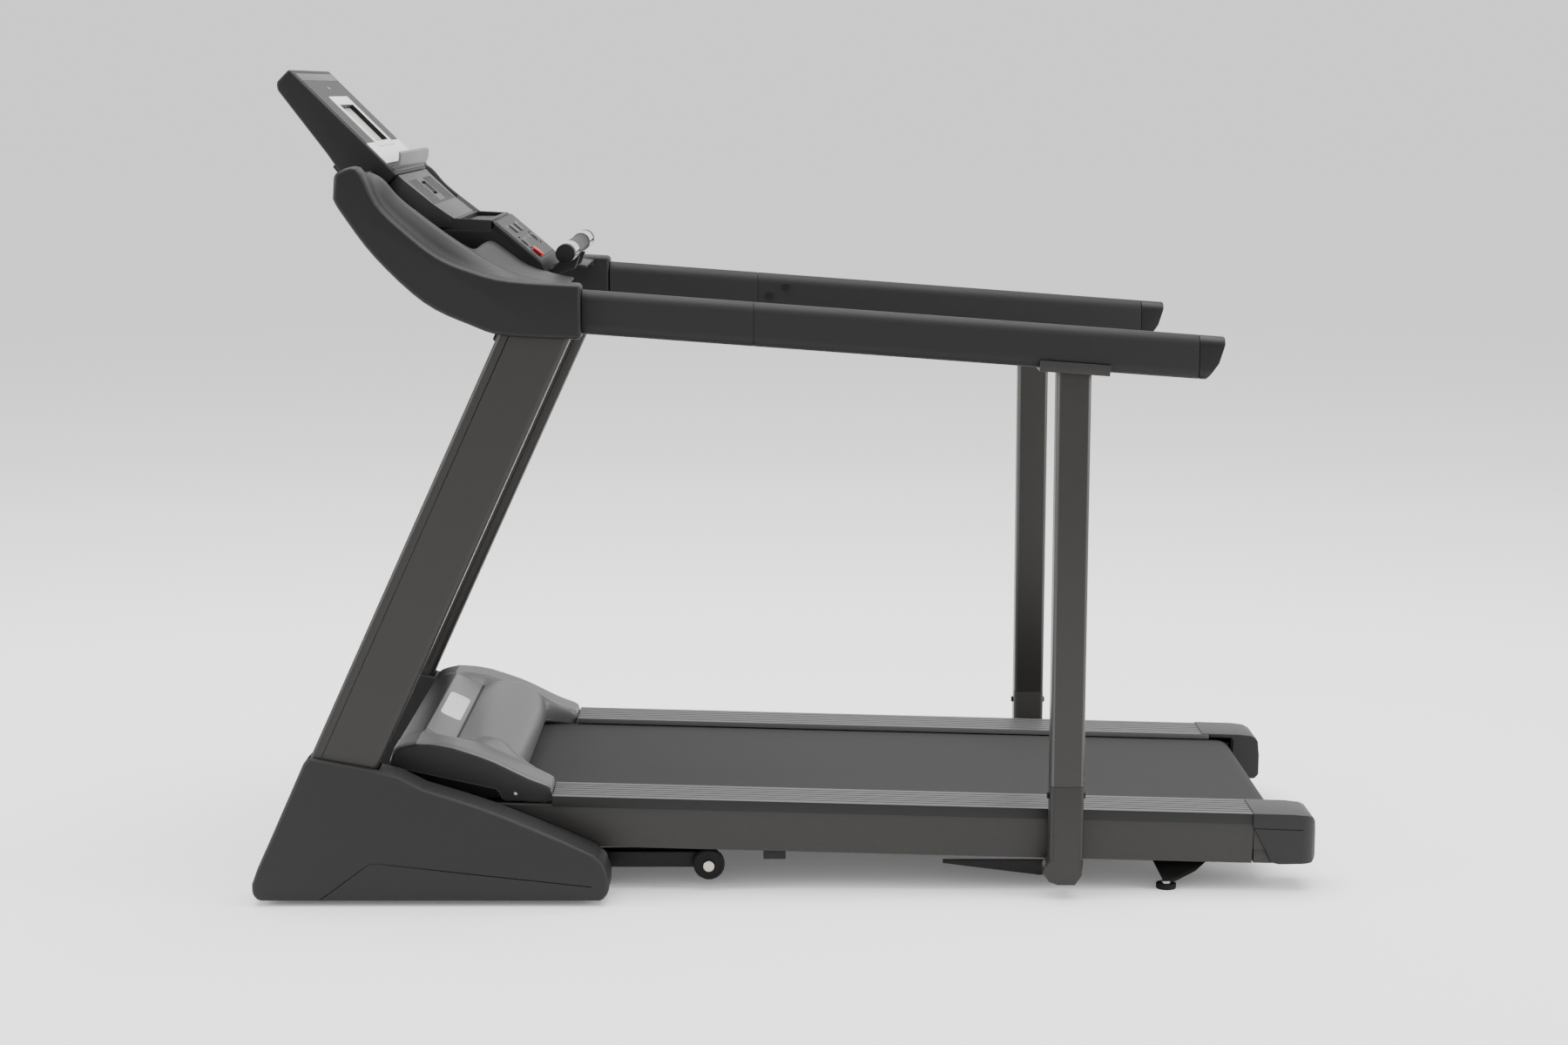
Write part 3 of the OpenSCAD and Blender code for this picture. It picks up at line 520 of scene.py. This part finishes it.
def hood_profile(w):
    """The hood's side line: w is 0 on the dome and 1 on a wing."""
    front = [resample([(-715, 150), (-715, 236), (-709, 254)], 6),
             resample([(-715, 150), (-715, 238), (-709, 256)], 6)]
    crown = [resample(curve([(-709, 254), (-696, 264), (-680, 270), (-663, 271)], 4), 8),
             resample(curve([(-709, 256), (-700, 262), (-684, 267), (-667, 270)], 4), 8)]
    slope = [resample([(-663, 271), (-609, 245)], 12),
             resample(curve([(-667, 270), (-634, 268), (-602, 262)], 4), 12)]
    back = [resample(curve([(-609, 245), (-603, 248), (-565, 257), (-525, 250), (-497, 226),
                            (-486, 196), (-486, 178)], 6), 24),
            resample(curve([(-602, 262), (-538, 240), (-468, 206), (-431, 191), (-424.6, 180),
                            (-428, 163)], 6), 24)]
    rows = []
    for part in (front, crown, slope, back):
        pts = [tuple(a[j] + w * (b[j] - a[j]) for j in (0, 1)) for a, b in zip(*part)]
        rows += pts if not rows else pts[1:]
    return rows


def skirt_z(x):
    """Lower edge of the hood's side wall."""
    if x > -513:
        return 163.0
    if x > -525:
        return 163 + (-513 - x) / 12 * 21
    return min(223.0, 184 + (-525 - x) / 175 * 39)


def hood_mesh():
    """The hood's outer skin: side lines set next to each other from wall to wall."""
    ys = [0, 60, 120, 180, 215, 228, 234, 238, 242, 246, 250, 254, 258, 262, 270, 290, 310, 322]
    ys = [-y for y in ys[:0:-1]] + ys
    cols = []
    for y in ys:
        w = smoothstep(232, 262, abs(y))
        cols.append([(x, y, z) for x, z in hood_profile(w)])
    edge = hood_profile(1.0)

    def rim(sign):
        """The rounding over the shoulder, and the side wall below it."""
        out, r = [], HOOD_HALF - HOOD_SHOULDER
        for t in (0.35, 0.7, 0.9, 1.0):
            drop = r * (1 - math.sqrt(1 - t * t))
            out.append([(x, sign * (HOOD_SHOULDER + r * t), max(z - drop, min(z, skirt_z(x))))
                        for x, z in edge])
        for f in (0.5, 1.0):
            wall = []
            for x, z in edge:
                low = skirt_z(x)
                if z - r > low:
                    height = z - r + f * (low - (z - r))
                else:
                    height = min(z, max(z - r, low))
                wall.append((x, sign * HOOD_HALF, height))
            out.append(wall)
        return out

    cols = rim(-1)[::-1] + cols + rim(1)
    bm = bmesh.new()
    grid = [[bm.verts.new((x * MM, y * MM, z * MM)) for x, y, z in c] for c in cols]
    for a, b in zip(grid, grid[1:]):
        for i in range(len(a) - 1):
            bm.faces.new([a[i], a[i + 1], b[i + 1], b[i]])
    bmesh.ops.remove_doubles(bm, verts=bm.verts, dist=2e-4)
    return finished(bm, "hood")


hood = piece("hood_look", solidified(hood_mesh(), 4), "hood_plastic", "deck", ("motor_hood",), 42)
# The hood's side walls take the darker cover plastic by face direction: painted shade, the same plastic as
# the top.
paint(hood, "cover_plastic",
      lambda c, n: abs(c.y) > HOOD_HALF - 2 or (abs(n.y) > 0.62 and abs(c.y) > HOOD_SHOULDER))
# The hood's front and crown faces take a darker grey: painted shade.
paint(hood, "hood_front_painted_shade", lambda c, n: c.x < -664 and abs(c.y) < HOOD_HALF - 2 and n.x < 0.02)
skirt = prism([(-698, 164), (-698, 225), (-528, 187), (-514, 166), (-514, 164)], 312, 316)
both_sides("hood_skirt", skirt, "black_plastic", "deck")
# A thin lighter strip along the lower edge of the hood's side wall: a painted highlight.
painted_edge_highlight_line = [(-712, 226.4), (-526, 185.2), (-518, 178), (-514.4, 167)]
for i, me in enumerate(stripe(painted_edge_highlight_line, 0.7, HOOD_HALF - 0.5, HOOD_HALF + 0.6)):
    both_sides(f"hood_painted_highlight_{i}", me, "painted_light_grey", "deck")
for side, sign in SIDES:
    y = sign * (HOOD_HALF + 0.3)
    screw = bevelled(prism(circle_points(-491, 175.5, 3.6, 16), y - 0.6, y + 0.6), 0.5 * MM, 2)
    piece(f"hood_screw_{side}", screw, "bright_steel", "deck")

# The band across the hood's front slope.
BAND_HALF = 236
BAND = [(-662, 271.6), (-611, 247.2)]
strip = BAND + [(x, z - 2.5) for x, z in BAND[::-1]]
round_end = [(-700, 222), (-664, 222), (-655, 232), (-640, 236.5), (-600, 236.5)]
band = boolean(prism(strip, -BAND_HALF, BAND_HALF),
               [plan([(x, -y) for x, y in round_end] + round_end[::-1], 200, 300)], "INTERSECT")
piece("hood_band", bevelled(band, 0.6 * MM, 2), "silver_plastic", "deck", ("hood_badge",))
step = [(-611.4, 247.9), (-608.8, 246.6), (-609.2, 243), (-611.8, 244.3)]
piece("hood_step_line", prism(step, -BAND_HALF, BAND_HALF), "black_plastic", "deck")


def badge_mesh():
    """A plain plate with round corners, lying on the band."""
    def up(x):
        (ax, az), (bx, bz) = BAND
        return az + (x - ax) * (bz - az) / (bx - ax)
    bm = bmesh.new()
    ring = []
    for cx, cy, a0 in ((-628, 76, 0), (-645, 76, 90), (-645, -76, 180), (-628, -76, 270)):
        for i in range(7):
            a = math.radians(a0 + 15 * i)
            ring.append((cx + 10 * math.cos(a), cy + 12 * math.sin(a)))
    lo = [bm.verts.new((x * MM, y * MM, (up(x) - 0.5) * MM)) for x, y in ring]
    hi = [bm.verts.new((x * MM, y * MM, (up(x) + 1.2) * MM)) for x, y in ring]
    bm.faces.new(hi)
    bm.faces.new(lo[::-1])
    for i in range(len(ring)):
        j = (i + 1) % len(ring)
        bm.faces.new([lo[i], lo[j], hi[j], hi[i]])
    return finished(bm, "badge")


piece("hood_blank_badge", bevelled(badge_mesh(), 0.6 * MM, 2), "badge_white", "deck")

# ---------------------------------------------------------------- console

# Each slope's upper edge in side view, and how steeply it falls to the rear.
FACE = ((-883, 1460), math.radians(44.8))
PANEL = ((-533, 1192), math.radians(40.5))


def on_slope(slope, points):
    """Side-view points from distances down a slope and heights off it."""
    (x, z), angle = slope
    c, k = math.cos(angle), math.sin(angle)
    return [(x + s * c + n * k, z - s * k + n * c) for s, n in points]


def slope_block(slope, s, y, n):
    """A block on a slope, from its ranges down it, across it and off it."""
    return prism(on_slope(slope, [(s[0], n[0]), (s[1], n[0]), (s[1], n[1]), (s[0], n[1])]), y[0], y[1])


def face_block(s, y, n):
    return slope_block(FACE, s, y, n)


def panel_block(s, y, n):
    return slope_block(PANEL, s, y, n)


HOUSING_HALF = 205             # half widths across the machine
FACE_S = (12, 236)             # the overlay's recess, down the face
FACE_HALF = 195
FRAME_S = (71, 197)            # the display frame's pocket
FRAME_HALF = 100
WINDOW_S = (92, 184)
WINDOW_HALF = 78
FIT = 0.2                      # gap around what is let into the housing


def wide(half, trim=FIT):
    """A range across the middle: a half width each way, less a trim."""
    return (trim - half, half - trim)


def pocket_for_frame(s0, s1):
    """What the display frame takes out of the pieces around it."""
    return face_block((s0, s1), wide(FRAME_HALF, -FIT), (-5, 5))


housing_line = [(0, 0), (262, 0), (262, -62), (190, -70), (150, -62), (10, -42), (0, -33)]
body = bevelled(prism(on_slope(FACE, housing_line), -HOUSING_HALF, HOUSING_HALF), 5 * MM, 4, 25)
body = boolean(body, [face_block(FACE_S, wide(FACE_HALF, 0), (-1.5, 9)),
                      face_block(FRAME_S, wide(FRAME_HALF, 0), (-9, 9))])
piece("console_housing_look", body, "console_plastic", "frame", ("console_housing",), 30)
neck = bevelled(prism([(-812, 1289), (-771, 1238), (-742, 1240), (-750, 1320)], -203, 203), 3 * MM, 2)
piece("console_neck", neck, "console_plastic", "frame")
film = boolean(face_block((30, 186), wide(FACE_HALF), (-1.3, 0.7)), [pocket_for_frame(70.8, 190)])
piece("console_face_look", film, "face_film", "frame", ("console_face",))
strip = bevelled(face_block((12.2, 29.6), wide(FACE_HALF), (-1.3, 1.1)), 0.4 * MM)
piece("face_top_strip", strip, "rail_plastic", "frame")
band = boolean(face_block((186.4, 235.8), wide(FACE_HALF), (-1.3, 1.5)), [pocket_for_frame(180, 197.2)])
piece("face_lower_band", bevelled(band, 0.5 * MM), "badge_white", "frame")
mark = bevelled(face_block((46, 52), (-12, 12), (0.7, 1.0)), 0.15 * MM)
piece("face_mark", mark, "silver_plastic", "frame")
rim = boolean(face_block((71.2, 196.8), wide(FRAME_HALF), (-7, 2.2)),
              [face_block(WINDOW_S, wide(WINDOW_HALF, 0), (-12, 5))])
piece("display_frame_look", bevelled(rim, 0.8 * MM), "badge_white", "frame", ("display_frame",))
well = boolean(face_block((92.2, 183.8), wide(WINDOW_HALF), (-6.9, 1.2)),
               [face_block((93.6, 182.4), wide(WINDOW_HALF, 1.6), (-12, 5))])
piece("display_well", well, "black_plastic", "frame")
screen = face_block((71.4, 196.6), wide(FRAME_HALF, 2 * FIT), (-8.8, -7.2))
piece("display_screen_look", screen, "screen", "frame", ("display_screen",))

lip = curve([(252, 0.2), (251, 12), (246, 22), (238, 30)], 5)
lip_in = [(s - 3.4 * (1 - 0.4 * i / len(lip)), n - 0.6) for i, (s, n) in enumerate(lip)]
ledge_line = [(247, 0.2), (256, 0.2)] + [(a + 3, b) for a, b in lip[1:]] + lip_in[::-1][:-1]
ledge = prism(on_slope(FACE, ledge_line), -188, 188)
piece("book_ledge_look", bevelled(ledge, 0.8 * MM, 2, 50), "silver_plastic", "frame", ("book_ledge",), 30)

RAMP = [(-696.5, 1273), (-688, 1264), (-640, 1222), (-603, 1194.5),
        (-603, 1178), (-655, 1180), (-699, 1227), (-718, 1252)]
RAMP_HALF = 198
TAPER = [(-760, RAMP_HALF), (-700, 190), (-650, 168), (-590, 150), (-560, 148), (-560, 260), (-760, 260)]
taper = [plan([(x, k * y) for x, y in TAPER], 1100, 1400) for k in (1, -1)]
ramp = boolean(prism(RAMP, -RAMP_HALF, RAMP_HALF), taper)
FALL = math.atan2(RAMP[1][1] - RAMP[2][1], RAMP[2][0] - RAMP[1][0])


def ramp_block(s, y, n):
    return slope_block((RAMP[1], FALL), s, y, n)


ramp = boolean(ramp, [ramp_block((12, 46), (-25, 25), (-7, 5))])
ramp = bevelled(ramp, 0.8 * MM, 2)
paint(piece("console_ramp_look", ramp, "ramp_plastic", "frame", ("console_ramp",)), "console_plastic",
      lambda c, n: abs(n.y) > 0.5)
piece("vent_back", ramp_block((12.3, 45.7), (-24.7, 24.7), (-6.8, -5)), "black_plastic", "frame")
for i, y in enumerate((-13, 0, 13)):
    bar = ramp_block((18, 40), (y - 2.5, y + 2.5), (-4.9, -1))
    piece(f"vent_bar_{i}", bar, "ramp_plastic", "frame")
rib_places = [50 + 18 * i for i in range(6)]
for i, y in enumerate([-y for y in rib_places[::-1]] + rib_places):
    rib = bevelled(ramp_block((4, 62), (y - 1.6, y + 1.6), (0.05, 0.9)), 0.3 * MM, 1)
    piece(f"ramp_rib_{i}", rib, "ramp_plastic", "frame")
step = prism([(-641, 1223.4), (-637.5, 1220.6), (-638, 1219.6), (-641.5, 1222.4)], -150, 150)
piece("ramp_step_line", step, "black_plastic", "frame")
shelf = prism([(-602.6, 1194), (-535, 1191), (-535, 1176.2), (-600, 1178.6)], -149.2, 149.2)
shelf = boolean(bevelled(shelf, 1 * MM, 2), [block((-594, -545), (-142, 142), (1186, 1210))])
piece("console_shelf", shelf, "console_plastic", "frame")

side_wall = prism([(-716, 1252), (-697, 1271), (-640, 1221), (-603, 1195), (-536, 1191.6), (-536, 1100),
                   (-640, 1116), (-655, 1176), (-700, 1226)], 149.5, 155.5)
both_sides("console_side_walls", bevelled(side_wall, 1 * MM, 2), "console_plastic", "frame")

# Top lines of the bolster beside the arm, of the bowl and of the arm itself.
BOLSTER = curve([(-738, 1286), (-706, 1273), (-675, 1239), (-627, 1200), (-576, 1163), (-520, 1128),
                 (-462, 1103), (-386, 1089)], 6)
BOWL = curve([(-660, 1176), (-646, 1143), (-618, 1123), (-585, 1122), (-560, 1140), (-543, 1154),
              (-528, 1152), (-500, 1132), (-470, 1112), (-430, 1098), (-386, 1089)], 6)


def at(line, x):
    """Height of a side-view line at x."""
    for (ax, az), (bx, bz) in zip(line, line[1:]):
        if ax <= x <= bx:
            return az + (bz - az) * (x - ax) / max(1e-9, bx - ax)
    return line[-1][1]


ARM_TOP = curve([(-774, 1282), (-735, 1292), (-703, 1232), (-657, 1186), (-602, 1143), (-547, 1119),
                 (-480, 1102), (-357, 1094)], 6)


def tray_mesh():
    """The bowl and its slope to the rear, between the centre console and the bolster."""
    bm = bmesh.new()
    xs = [-652 + 4 * i for i in range(67)]
    ys = [156.6 + 167 * i / 34 for i in range(35)]
    grid = []
    for y in ys:
        t = smoothstep(215, 322, y)
        heights = [at(BOWL, x) * (1 - t) + at(BOLSTER, x) * t for x in xs]
        grid.append([bm.verts.new((x * MM, y * MM, z * MM)) for x, z in zip(xs, heights)])
    for a, b in zip(grid, grid[1:]):
        for i in range(len(a) - 1):
            bm.faces.new([a[i], a[i + 1], b[i + 1], b[i]])
    bmesh.ops.recalc_face_normals(bm, faces=bm.faces)
    if sum(f.normal.z for f in bm.faces) < 0:
        bmesh.ops.reverse_faces(bm, faces=bm.faces)
    me = bpy.data.meshes.new("tray")
    bm.to_mesh(me)
    bm.free()
    return solidified(me, 4)


def bolster_mesh():
    """A band beside the arm: its crest is inside, and it slopes out and down to the arm."""
    bm = bmesh.new()
    rows = []
    for i in range(86):
        x = -728 + 4 * i
        top, arm = at(BOLSTER, x), min(at(ARM_TOP, x), at(BOLSTER, x) + 2) - 3
        k = max(0.0, top - arm)
        low = min(top, arm) - 9
        sec = [(322.6, low), (322.6, top - 3), (324, top - 0.8), (327, top), (331, top - 0.02 * k - 0.4),
               (336, top - 0.14 * k - 1), (348, top - 0.62 * k - 1), (354, arm + 1), (356.4, arm - 1),
               (356.4, low)]
        rows.append([bm.verts.new((x * MM, y * MM, z * MM)) for y, z in sec])
    for a, b in zip(rows, rows[1:]):
        for i in range(len(a)):
            j = (i + 1) % len(a)
            bm.faces.new([a[i], a[j], b[j], b[i]])
    bm.faces.new(rows[0])
    bm.faces.new(rows[-1][::-1])
    return finished(bm, "bolster")


trays = both_sides("side_trays_look", tray_mesh(), "tray_plastic", "frame", ("side_trays",), 50)
# The bowl's front, next to the ramp, takes the dark console plastic: painted shade in the recess.
paint(trays, "console_plastic", lambda c, n: c.x < -549)
both_sides("tray_bolsters", bolster_mesh(), "tray_plastic", "frame", (), 50)

PANEL_LINE = [(-533.6, 1191.6), (-447, 1118), (-436, 1098), (-446, 1082), (-540, 1096), (-602, 1146),
              (-656, 1176), (-598, 1177), (-533.6, 1175)]
PANEL_HALF = 156
# Key places on the panel: distance down, across, size down, size across.
KEY_PLACES = ((34, 40, 20, 30), (34, -40, 20, 30), (68, -95, 30, 22), (68, 95, 30, 22))
KEY_GAP = 0.5


def key_holes():
    """What the keys and the safety key's socket take out of the panel."""
    out = []
    for s, y, h, w in KEY_PLACES:
        dh, dw = h / 2 + KEY_GAP, w / 2 + KEY_GAP
        out.append(panel_block((s - dh, s + dh), (y - dw, y + dw), (-6, 6)))
    return out + [panel_block((86.5, 105.5), (-105.5, -86.5), (-8, 6))]


desk = bevelled(prism(PANEL_LINE, -PANEL_HALF, PANEL_HALF), 5 * MM, 4, 30)
desk = boolean(desk, [panel_block((6, 108), (-149, 149), (-0.8, 6))] + key_holes())
piece("control_panel_look", desk, "console_plastic", "frame", ("control_panel",), 30)
film = boolean(panel_block((6.3, 107.7), (-148.7, 148.7), (-0.7, 0.3)), key_holes())
piece("panel_film", film, "face_film", "frame")
mark_places = [(60, y) for y in (40, 28, -28, -40)] + [(24, y) for y in (80, 95, -80, -95)]
for i, (s, y) in enumerate(mark_places):
    mark = panel_block((s - 2.5, s + 2.5), (y - 4, y + 4), (0.3, 0.5))
    piece(f"panel_mark_{i}", mark, "silver_plastic", "frame")

# ---------------------------------------------------------------- the other nodes

# Nodes kept in their CAD shape with rounded edges, and how wide the rounding is in millimetres.
ROUND = {
    "base_frame": 1.5, "base_pads": 2, "console_beam": 6, "arm_left": 12, "arm_right": 12,
    "pulse_bar": 4, "pulse_plates": 0.4, "handrail_left": 1, "handrail_right": 1,
    "rail_extension_left": 1, "rail_extension_right": 1, "handrail_caps": 2.5, "post_saddles": 1,
    "post_left": 0.8, "post_right": 0.8, "post_foot_bar": 1.5, "frame_bolts": 1,
    "power_inlet": 1, "power_switch": 1, "transport_wheel_left": 1, "transport_wheel_right": 1,
    "start_key": 0.8, "stop_key": 0.8, "speed_key": 0.8, "incline_key": 0.8, "safety_key": 1.5,
    "lift_frame": 1.5, "deck_frame": 1, "side_rail_left": 0.7, "side_rail_right": 0.7,
    "deck_cushions": 1.5, "drive_motor": 2, "motor_rotor": 1, "rear_feet": 1, "lift_actuator": 1,
    "actuator_tube": 0.8,
}
GROOVE_INSET = 18.7            # of the uprights' grooves, from the edge
GROOVE_DEEP = 1.2
GROOVE_HALF = 0.9              # half the width
GROOVE_Z = (258, 1120)         # lower and upper end
WHEEL_AXLE = (-144, 47)
UPRIGHT_SCREW = (-505, 1000)
BIG_FACE = 0.002               # square metres; faces from this size are shaded flat


def upright_groove(inset, y0, y1):
    """A long shallow groove beside an edge of the leaning upright."""
    shift = (inset + (UPRIGHT_HALF if inset < 0 else -UPRIGHT_HALF)) / math.cos(LEAN)
    low, high = (upright_mid(z) + shift for z in GROOVE_Z)
    return prism([(low - GROOVE_HALF, GROOVE_Z[0]), (low + GROOVE_HALF, GROOVE_Z[0]),
                  (high + GROOVE_HALF, GROOVE_Z[1]), (high - GROOVE_HALF, GROOVE_Z[1])], y0, y1)


for side, sign in SIDES:
    node = f"upright_{side}"
    corners = frame["nodes"][node].bound_box
    near, far = sorted(abs(corners[i][1]) / MM for i in (0, 6))
    inner = (sign * (near + GROOVE_DEEP), sign * (near - 5))
    outer = (sign * (far - GROOVE_DEEP), sign * (far + 5))
    cuts = [upright_groove(GROOVE_INSET, *outer), upright_groove(GROOVE_INSET, *inner),
            upright_groove(-GROOVE_INSET, *inner)]
    bar = piece(node + "_look", boolean(cleaned(node), cuts), "frame_paint", BODY_OF[node], (node,))
    for f in bar.data.polygons:
        f.use_smooth = f.area < BIG_FACE
for node, width in ROUND.items():
    slot = "black_steel" if node == "base_frame" else SLOT_OF[node]
    soften(node, width, 5 if width > 5 else 3, slot)
paint(bpy.data.objects["post_foot_bar_look"], "black_steel", lambda c, n: abs(c.y) < 356 or c.z < 36)
paint(bpy.data.objects["rear_feet_look"], "bright_steel", lambda c, n: c.z > 9.4)
for side, sign in SIDES:
    # The axle's nut at the transport wheel.
    nut = prism(circle_points(*WHEEL_AXLE, 10, 24), sign * 352.1, sign * 354.5)
    piece(f"wheel_nut_{side}", bevelled(nut, 0.8 * MM), "bright_steel", "frame")
    # The post's corners painted lighter as a painted highlight, and the dark outer lip of the foot rail.
    paint(bpy.data.objects[f"post_{side}_look"], "post_edge_painted_highlight",
          lambda c, n: 0.3 < abs(n.x) < 0.97 and abs(n.z) < 0.1)
    paint(bpy.data.objects[f"side_rail_{side}_look"], "rail_lip",
          lambda c, n: abs(n.y) > 0.6 and abs(c.y) > 340)
    # The screw at the top of the upright's front face.
    x, z = UPRIGHT_SCREW
    c, k = math.cos(LEAN), math.sin(LEAN)
    head = ((-2, -7), (4, -7), (6, -4), (6, 4), (4, 7), (-2, 7))
    knob = prism([(x - a * c + b * k, z + a * k + b * c) for a, b in head], sign * 368, sign * 382)
    piece(f"upright_screw_{side}", bevelled(knob, 1.5 * MM, 2), "black_plastic", "frame")
# What is seen of the CAD itself gets its slot's material.
for node, o in frame["nodes"].items():
    if not o.hide_render:
        o.data.materials.clear()
        o.data.materials.append(MAT[SLOT_OF[node]])

# ---------------------------------------------------------------- stage, light, camera

me = bpy.data.meshes.new("floor")
bm = bmesh.new()
bmesh.ops.create_grid(bm, x_segments=1, y_segments=1, size=40)
bm.to_mesh(me)
bm.free()
floor = bpy.data.objects.new("floor", me)
bpy.context.scene.collection.objects.link(floor)
me.materials.append(material("floor", (0.9, 0.9, 0.9), 0.9, 0, 0.002, 2, spec=0.0))
glow = me.materials[0].node_tree.nodes["Principled BSDF"]
glow.inputs["Emission Color"].default_value = (1, 1, 1, 1)
glow.inputs["Emission Strength"].default_value = 0.12

world = bpy.data.worlds.new("world")
bpy.context.scene.world = world
world.use_nodes = True
bg = world.node_tree.nodes["Background"]
bg.inputs["Color"].default_value = (1, 1, 1, 1)
bg.inputs["Strength"].default_value = 1.15


def area(name, loc, target, size, power):
    ld = bpy.data.lights.new(name, "AREA")
    ld.shape = "RECTANGLE"
    ld.size, ld.size_y = size
    ld.energy = power
    o = bpy.data.objects.new(name, ld)
    bpy.context.scene.collection.objects.link(o)
    o.location = loc
    o.rotation_euler = (Vector(target) - Vector(loc)).to_track_quat("-Z", "Y").to_euler()
    return o


# One large light above and one from each end.
area("top", (0.0, 0.4, 4.5), (0, 0.2, 0.0), (6.0, 4.0), 420)
area("left", (-6.0, -1.6, 2.4), (0, -0.3, 0.7), (2.5, 3.0), 220)
area("right", (6.0, -1.6, 2.4), (0.3, -0.3, 0.7), (2.5, 3.0), 220)

TILT_DOWN = 9.2                # degrees
cam = bpy.data.cameras.new("camera")
cam.lens = 61.5
cam.sensor_width = 36
co = bpy.data.objects.new("camera", cam)
bpy.context.scene.collection.objects.link(co)
co.location = (-0.009, -5.0, 1.425)
co.rotation_euler = (math.radians(90 - TILT_DOWN), 0, 0)
bpy.context.scene.camera = co
